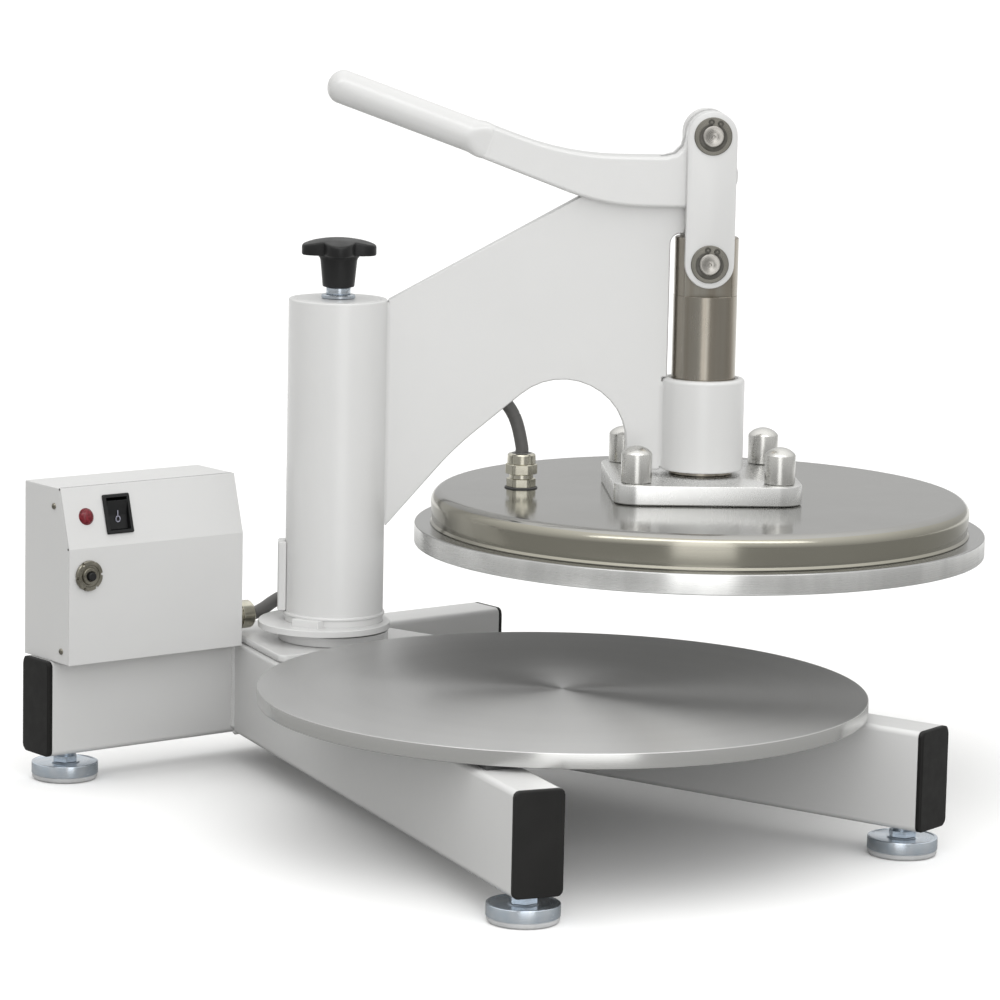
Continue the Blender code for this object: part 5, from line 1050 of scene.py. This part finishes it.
def build_knob():
    """Star knob with soft lobes and a domed top, over its nut and shank."""
    base, top = heights("adjuster_knob")
    wing = base + KNOB_WING_RISE

    def star(share, height=None, hub=0.0, drop=0.0):
        """Loop between the hub and the lobed outline; with no height it lies below the dome."""
        loop = []
        for angle in around(KNOB_ROUND):
            swell = (0.5 + 0.5 * cos(KNOB_LOBES * (angle + KNOB_TURN))) ** KNOB_LOBE_POWER
            lobe = KNOB_VALLEY + (KNOB_REACH - KNOB_VALLEY) * swell
            radius = hub + (lobe - hub) * share
            dome = top - KNOB_CROWN * (radius / KNOB_REACH) ** 2 - drop
            loop.append(polar(radius, angle, dome if height is None else height))
        return loop

    hub = ((0.0114, base), (0.0124, base + 0.0004), (0.0127, base + 0.0012), (0.0146, wing - 0.0050))
    under = ((0.03, -0.0030), (0.14, -0.0010), (0.50, -0.0002), (0.93, 0))
    loops = [
        tip(base), *[ring_of(radius, height, KNOB_ROUND) for radius, height in hub],
        *[star(share, wing + rise, KNOB_HUB) for share, rise in under],
        star(0.985, wing + 0.0004), star(1, wing + 0.0012),
        *[star(share, drop=drop) for share, drop in ((1, 0.0016), (0.992, 0.0006), (0.97, 0.0001))],
        *[star(share) for share in (0.93, 0.84, 0.72, 0.60, 0.48, 0.36, 0.24, 0.12, 0.04)], tip(top),
    ]
    shell("adjuster_star_knob", loops, KNOB_PLASTIC, "adjuster", stand(SWING_PLACE, UP, AHEAD), BEAD_ANGLE,
          ("adjuster_knob",))
    dress("adjuster_screw", ZINC, METAL_ROUNDING)
    nut_base, nut_top = heights("adjuster_nut")
    nut = [(0.0100, nut_base), (0.0130, nut_base), (0.0135, nut_base + 0.0005), (0.0135, nut_top - 0.0006),
           (0.0129, nut_top), (0.0105, nut_top), (0.0100, nut_top - 0.0005)]
    lathe("adjuster_nut_turned", nut, SHAFT_ZINC_PAINTED_SHADE, "arm", SWING_PLACE, sides=SMALL_ROUND,
          replaces=("adjuster_nut",), hollow=True)
    shank = [(0.0088, nut_top + 0.0002), (0.0096, nut_top + 0.0004), (0.0097, nut_top + 0.0008),
             (0.0097, base - 0.0008), (0.0094, base - 0.0003), (0.0088, base - 0.0003)]
    lathe("adjuster_shank", shank, SHAFT_ZINC_PAINTED_SHADE, "adjuster", SWING_PLACE, sides=SMALL_ROUND, hollow=True)


# Control box

PANEL_LEAN = atan2(0.0135, 0.0465)
PANEL_OUT = Vector((0, -cos(PANEL_LEAN), sin(PANEL_LEAN)))
BOX_SLOPE_RISE = 0.0465
SLOT_EDGE = 0.97
SLOT_REACH = 0.36
SLOT_ROOT = 0.14
SIDE_SCREW_HEAD = 0.0025
BACK_SCREW_HEAD = 0.0030
LAMP_RAISE = 0.0036
LENS_RADIUS = 0.0059
LENS_BASE = 0.0015
LENS_RISE = 0.0032
ROCKER_TILT = radians(11)
ROCKER_RISE = 0.0049
MARK_STROKE = 0.0010


def screw(name, place, outward, look, head):
    """Pan-head screw with a cross recess."""
    outline = [(1.0, 0.0), (1.0, 0.18), (0.92, 0.34), (0.75, 0.46), (0.45, 0.53)]
    loops = [tip(0), *[ring_of(r * head, h * head, THREAD_ROUND) for r, h in outline]]
    for share, height in ((1, 0.53), (0.8, 0.22)):
        loop = []
        for angle in around(THREAD_ROUND):
            in_slot = max(abs(cos(angle)), abs(sin(angle))) > SLOT_EDGE
            loop.append(polar(head * (SLOT_REACH if in_slot else SLOT_ROOT) * share, angle, height * head))
        loops.append(loop)
    loops.append(tip(0.20 * head))
    shell(name, loops, look, "base", stand(place, outward))


def build_box():
    """Folded box with its screws, a dark strip in the seam under the panel as painted shadow, and dark discs at
    the folded corners as painted shade in the relief holes.
    """
    dress("box_shell", PAINT, SHEET_ROUNDING)
    dress("box_panel", PAINT, SHEET_ROUNDING, smooth_angle=12)
    front, back, roof = low("box_shell").y, high("box_shell").y, high("box_shell").z
    left, right = low("box_shell").x, high("box_shell").x
    sides = (("left", left, -X_AXIS), ("right", right, X_AXIS))
    for level, y, z in (("upper_front", 0.0205, 0.0150), ("lower_front", 0.0093, 0.1282)):
        for name, x, outward in sides:
            screw(f"box_screw_{name}_{level}", Vector((x, front + y, roof - z)), outward, DARK_NICKEL,
                  SIDE_SCREW_HEAD)
    for name, x in (("left", left + 0.012), ("right", right - 0.012)):
        screw(f"box_screw_back_{name}", Vector((x, back, roof - 0.014)), Y_AXIS, ZINC, BACK_SCREW_HEAD)
    top, edge = high("box_panel").z, high("box_panel").y
    start, end = (Vector((x, edge + 0.00015, top - 0.0003)) for x in (left + 0.0012, right - 0.0012))
    # Dark strip along the seam under the panel: painted shadow in the gap.
    tube("box_seam_painted_shadow", [start.lerp(end, i / 20) for i in range(21)], 0.00045, DARK_RUBBER_AND_PAINTED_SHADE, "base", 8)
    # Shallow dark discs at the top and fold corners: painted shade in the relief holes.
    relief = [(0, -0.0010), (0.0010, -0.0010), (0.0010, 0.00002), (0.0007, 0.00005), (0, 0.00003)]
    for name, x, outward in sides:
        for level, y, z in (("top", edge - 0.0002, top - 0.0010),
                            ("fold", low("box_panel").y + 0.0019, top - BOX_SLOPE_RISE)):
            lathe(f"box_relief_{level}_{name}", relief, DARK_RUBBER_AND_PAINTED_SHADE, "base", Vector((x, y, z)), outward,
                  TINY_ROUND)
    build_lamp()
    build_switch()
    build_breaker()


def build_lamp():
    """Domed red lens in a thin bezel, square to the sloping panel."""
    profile = [
        (0, -0.004), (0.0048, -0.004), (0.0048, 0.0002), (0.0064, 0.0002), (0.0067, 0.0006), (0.0067, 0.0011),
        (0.0063, LENS_BASE), (LENS_RADIUS, LENS_BASE),
        *[(LENS_RADIUS * cos(a), LENS_BASE + LENS_RISE * sin(a)) for a in
          (radians(10) * k for k in range(1, 9))],
        (0, LENS_BASE + LENS_RISE),
    ]
    lathe("power_lamp_lens", profile, LENS, "base", middle("power_lamp") + PANEL_OUT * LAMP_RAISE, PANEL_OUT,
          SEAL_ROUND, ("power_lamp",))


def build_switch():
    """Rocker switch: bezel, rocker and its generic on and off marks."""
    for node, rounding in (("switch_frame", 0.0004), ("switch_rocker", 0.0005)):
        dress(node, SWITCH_PLASTIC, rounding, axis=PANEL_OUT, smooth_angle=35)
    upward = Vector((0, sin(PANEL_LEAN), cos(PANEL_LEAN)))
    along = (upward * cos(ROCKER_TILT) + PANEL_OUT * sin(ROCKER_TILT)).normalized()
    outward = X_AXIS.cross(along).normalized()
    surface = Vector(JOINTS["rocker_turn"]["pos_m"]) + outward * ROCKER_RISE
    line = [(0, -0.0004 + 0.0040 * i / 6, -0.0001 + 0.00035 * i / 6) for i in range(7)]
    loop = [(0.0019 * cos(a), -0.0032 + 0.0022 * sin(a), 0.0001) for a in around(32)]
    for name, points, closed in (("on", line, False), ("off", loop, True)):
        route = [surface + X_AXIS * x + along * y + outward * h for x, y, h in points]
        tube(f"rocker_mark_{name}", route, MARK_STROKE / 2, MARKING, "rocker", 8, closed)


def build_breaker():
    """Resettable breaker: notched ring nut, collar and push button."""
    place = Vector((middle("breaker_nut").x, low("box_panel").y, middle("breaker_nut").z))

    def notched(radius, height, depth):
        return [polar(radius - (depth if i % 24 < 4 else 0), angle, height)
                for i, angle in enumerate(around(NUT_ROUND))]

    nut = ((0.0117, 0.0003, 0), (0.0120, 0.0007, 0.0016), (0.0120, 0.0023, 0.0016), (0.0115, 0.0031, 0.0018))
    collar = ((0.0088, 0.0031), (0.0084, 0.0026), (0.0072, 0.0026), (0.0068, 0.0040), (0.0064, 0.0046),
              (0.0042, 0.0046), (0.0038, 0.0040), (0.0037, 0.0010))
    loops = [tip(0.0003), *[notched(*row) for row in nut],
             *[ring_of(radius, height, NUT_ROUND) for radius, height in collar], tip(0.0010)]
    shell("breaker_ring_nut", loops, DARK_NICKEL, "base", stand(place, -Y_AXIS), replaces=("breaker_nut",))
    dress("breaker_button", KNOB_PLASTIC, 0.0006, axis=Y_AXIS)


# Leads and glands

LEAD_RADIUS = 0.00525
BASE_LEAD_POINTS = (
    (-0.0401, 0.0600, 0.1191), (-0.0349, 0.0600, 0.1191), (-0.0255, 0.0612, 0.1218), (-0.0160, 0.0640, 0.1250),
    (-0.0050, 0.0668, 0.1280), (0.0100, 0.0698, 0.1315), (0.0260, 0.0712, 0.1337), (0.0410, 0.0690, 0.1348),
    (0.0530, 0.0615, 0.1350), (0.0600, 0.0505, 0.1350), (0.0608, 0.0385, 0.1350), (0.0555, 0.0280, 0.1350),
    (0.0470, 0.0221, 0.1350), (0.0333, 0.0157, 0.1350),
)
PLATEN_LEAD_POINTS = (
    (0.0334, 0.0156, 0.3180), (0.0470, 0.0215, 0.3190), (0.0620, 0.0250, 0.3195), (0.0800, 0.0235, 0.3190),
    (0.0981, 0.0195, 0.3160), (0.1141, 0.0168, 0.3105), (0.1280, 0.0160, 0.3020), (0.1385, 0.0160, 0.2910),
    (0.1450, 0.0160, 0.2781), (0.1493, 0.0160, 0.2597), (0.1493, 0.0160, 0.2544),
)
GROMMETS = (("base", radians(60), 0.1350), ("platen", radians(25), 0.3180))


def build_lead(name, route, node, bodies):
    """Jacketed lead from gland to column, across a joint; it is taken off its body and stays fixed where it is
    laid.
    """
    made = tube(name, route, LEAD_RADIUS, JACKET, bodies[0], TINY_ROUND)
    made.parent = None
    del made["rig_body"]
    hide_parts(node)
    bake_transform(made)


def seal(name, place, axis, body):
    """Rubber seal ring squeezed out around a lead."""
    profile = [(LEAD_RADIUS + 0.0001, -0.0010), (0.0078, -0.0010), (0.0082, -0.0002), (0.0078, 0.0005),
               (0.0066, 0.0010), (LEAD_RADIUS + 0.0001, 0.0008)]
    lathe(name, profile, JACKET, body, place, axis, SEAL_ROUND, hollow=True)


def hexagon(across, height, soft=0.0006):
    """Six-sided loop with slightly rounded corners."""
    loop = []
    for angle in around(POST_ROUND):
        within = (angle + pi / 6) % (pi / 3) - pi / 6
        radius = min(across / 2 / cos(within), across / 2 / cos(pi / 6) - soft)
        loop.append(polar(radius, angle, height))
    return loop


def circle(radius, height):
    return ring_of(radius, height, POST_ROUND)


def build_platen_gland():
    """Dark seal washer, which is also painted shadow round the gland's foot, then lower nut, neck, hexagon and
    cap of the gland on the pan.
    """
    place = foot_of("platen_gland")
    pan, top = high("platen_pan").z, high("platen_gland").z
    # Dark washer under the gland: a seal washer that is also the gland's painted shadow on the pan.
    washer = [(0, pan - 0.0002), (0.0129, pan - 0.0002), (0.0133, pan + 0.0003), (0.0131, pan + 0.0009),
              (0.0118, pan + 0.0011), (0, pan + 0.0011)]
    lathe("platen_gland_washer_and_painted_shadow", washer, DARK_RUBBER_AND_PAINTED_SHADE, "press", place, sides=POST_ROUND)
    z = pan + 0.0009
    loops = [tip(z)]
    for outline, level, points in (
            (hexagon, z, ((0.0200, 0), (0.0214, 0.0005), (0.0214, 0.0066), (0.0200, 0.0072))),
            (circle, z, ((0.0098, 0.0072), (0.0096, 0.0104))),
            (hexagon, z, ((0.0216, 0.0104), (0.0232, 0.0110), (0.0232, 0.0182), (0.0218, 0.0188))),
            (circle, z, ((0.0112, 0.0188), (0.0115, 0.0192))),
            (circle, top, ((0.0113, -0.0014), (0.0106, -0.0004), (0.0094, 0), (0.0070, 0), (0.0066, -0.0006)))):
        loops += [outline(measure, level + rise) for measure, rise in points]
    shell("platen_gland_turned", [*loops, tip(top - 0.0008)], NICKEL, "press", stand(place, UP, VIEW),
          TURNED_ANGLE, ("platen_gland",))


def build_leads():
    """Both leads with their glands and seals, and the grommets where they enter the column."""
    base_route = smooth_route([SWING_PLACE + Vector(p) for p in BASE_LEAD_POINTS])
    build_lead("base_lead_jacket", base_route, "base_lead", ("base", "bush_carrier"))
    platen_route = smooth_route([arm_place(*p) for p in PLATEN_LEAD_POINTS])
    build_lead("platen_lead_jacket", platen_route, "platen_lead", ("arm", "press"))
    seal("base_lead_seal", base_route[0] - X_AXIS * 0.0006, X_AXIS, "base")
    seal("platen_lead_seal", platen_route[-1] - UP * 0.0006, UP, "press")
    dress("box_gland", NICKEL, METAL_ROUNDING, axis=X_AXIS)
    dress("mains_gland", NICKEL, METAL_ROUNDING, axis=Y_AXIS)
    build_platen_gland()
    mains_end = Vector((middle("mains_gland").x, high("mains_gland").y, middle("mains_gland").z))
    plug = [(0, -0.0060), (0.0050, -0.0060), (0.0050, -0.0012), (0.0044, -0.0006), (0.0030, -0.0004),
            (0, -0.0003)]
    lathe("mains_gland_plug", plug, JACKET, "base", mains_end, Y_AXIS, SEAL_ROUND)
    grommet = [(LEAD_RADIUS + 0.0009, -0.0020), (0.0076, -0.0020), (0.0086, 0.0004), (0.0084, 0.0016),
               (0.0072, 0.0022), (LEAD_RADIUS + 0.0010, 0.0018)]
    for name, angle, height in GROMMETS:
        outward = AHEAD * cos(angle) + SIDE * sin(angle)
        place = SWING_PLACE + outward * COLUMN_RADIUS + UP * height
        lathe(f"column_grommet_{name}", grommet, JACKET, "arm", place, outward, SEAL_ROUND, hollow=True)


# Camera, light and floor

SKY_LOW = 0.66
SKY_BEHIND = -0.08
SKY_DIM = 0.30
SKY_DIM_HEIGHT = 0.45
SKY_TOP = 0.90
SKY_TOP_POWER = 1.3
SKY_BACKDROP = 1.03
SKY_COLOR = (1, 1, 0.99, 1)
FLOOR_SIDE = 60
FLOOR_PALE = (0.99, 0.99, 0.99)
FLOOR_GREY = (0.36, 0.36, 0.355)
FLOOR_HEIGHT = -0.0002
SWEEP_START = 0.9
SWEEP_END = 2.0
KEY_LIGHT = {"turn": radians(4), "distance": 0.90, "base": 0.01, "width": 0.42, "height": 1.30,
             "radiance": 1.20}
TOP_LIGHT = {"turn": 0, "distance": 1.15, "base": 1.55, "width": 3.2, "height": 0.9, "radiance": 3.0}
FILL_LIGHT = {"turn": radians(10), "distance": 3.0, "base": 0.1, "width": 2.0, "height": 1.5,
              "radiance": 1.9}


def build_camera():
    data = bpy.data.cameras.new("camera")
    data.sensor_width = CAMERA_SENSOR
    data.lens = CAMERA_LENS
    data.clip_end = 100
    camera = put("camera", data)
    back = -CAMERA_AHEAD.normalized()
    right = UP.cross(back).normalized()
    turn = Matrix((right, back.cross(right), back)).transposed() @ Matrix.Rotation(CAMERA_ROLL, 3, "Z")
    camera.matrix_world = Matrix.Translation(CAMERA_PLACE) @ turn.to_4x4()
    bpy.context.scene.camera = camera


def card_light(name, turn, distance, base, width, height, radiance):
    """Upright soft box toward the camera, turned about the object; the camera doesn't see it."""
    out = Matrix.Rotation(turn, 3, "Z") @ -VIEW
    data = bpy.data.lights.new(name, "AREA")
    data.shape = "RECTANGLE"
    data.size, data.size_y = width, height
    data.energy = radiance * pi * width * height
    light = put(name, data)
    light.matrix_world = stand(out * distance + UP * (base + height / 2), out, UP.cross(out))
    light.visible_camera = False
    return light


def build_world():
    """Soft studio surround: dim low down behind the camera, bright overhead, plain white backdrop."""
    world = bpy.data.worlds.new("studio")
    bpy.context.scene.world = world
    world.use_nodes = True
    tree = world.node_tree

    def step(kind, operation, *values, clamp=False):
        node = tree.nodes.new(kind)
        node.operation = operation
        if clamp:
            node.use_clamp = True
        for socket, value in zip(node.inputs, values):
            if isinstance(value, bpy.types.NodeSocket):
                tree.links.new(value, socket)
            else:
                socket.default_value = value
        return node.outputs["Value"]

    def scalar(operation, *values, clamp=False):
        return step("ShaderNodeMath", operation, *values, clamp=clamp)

    direction = tree.nodes.new("ShaderNodeTexCoord").outputs["Generated"]
    split = tree.nodes.new("ShaderNodeSeparateXYZ")
    tree.links.new(direction, split.inputs[0])
    toward = step("ShaderNodeVectorMath", "DOT_PRODUCT", direction, tuple(-VIEW))
    height = scalar("MAXIMUM", split.outputs["Z"], 0.0)
    away = scalar("MAXIMUM", scalar("MULTIPLY", toward, -1.0), 0.0)
    ring = scalar("MULTIPLY_ADD", away, SKY_BEHIND, SKY_LOW)
    dim = scalar("MULTIPLY", scalar("POWER", scalar("MAXIMUM", toward, 0.0), 2.0),
                 scalar("SUBTRACT", 1.0, scalar("DIVIDE", height, SKY_DIM_HEIGHT), clamp=True))
    ring = scalar("MULTIPLY_ADD", dim, -SKY_DIM, ring)
    light = scalar("MULTIPLY_ADD", scalar("POWER", height, SKY_TOP_POWER), SKY_TOP, ring)
    path = tree.nodes.new("ShaderNodeLightPath")
    light = scalar("MAXIMUM", light, scalar("MULTIPLY", path.outputs["Is Camera Ray"], SKY_BACKDROP))
    background = tree.nodes["Background"]
    tree.links.new(light, background.inputs["Strength"])
    background.inputs["Color"].default_value = SKY_COLOR


def floor_sheet(name, color, height):
    shape = bmesh.new()
    bmesh.ops.create_grid(shape, x_segments=1, y_segments=1, size=FLOOR_SIDE / 2)
    mesh = bpy.data.meshes.new(name)
    shape.to_mesh(mesh)
    shape.free()
    look = Finish(name, color, 0.9, **{"Specular IOR Level": 0.1})
    mesh.materials.append(look.material)
    floor = put(name, mesh)
    floor.location.z = height
    floor.visible_shadow = False
    return floor, look


def build_floor():
    """Pale floor for the camera, over a grey one that lights the object and pales behind it like a sweep."""
    pale, _ = floor_sheet("pale_floor", FLOOR_PALE, FLOOR_HEIGHT)
    pale.visible_diffuse = False
    pale.visible_glossy = False
    grey, look = floor_sheet("grey_floor", FLOOR_GREY, FLOOR_HEIGHT * 2)
    grey.visible_camera = False
    step = look.add("ShaderNodeVectorMath", operation="DOT_PRODUCT")
    step.inputs[1].default_value = VIEW
    look.link(look.coordinates, step.inputs[0])
    behind = look.spread(step.outputs["Value"], 0, 1, SWEEP_START, SWEEP_END)
    look.color(look.mix(behind, FLOOR_GREY, FLOOR_PALE))


def build_studio():
    build_world()
    build_floor()
    bpy.context.scene.view_settings.view_transform = "Standard"
    card_light("key", **KEY_LIGHT)
    card_light("top", **TOP_LIGHT).visible_diffuse = False
    card_light("fill", **FILL_LIGHT).visible_glossy = False


build_camera()
build_frame()
build_feet()
build_platens()
build_mount()
build_column()
build_sleeve()
build_plunger()
build_arm()
build_grip()
build_links()
build_knob()
build_box()
build_leads()
build_studio()
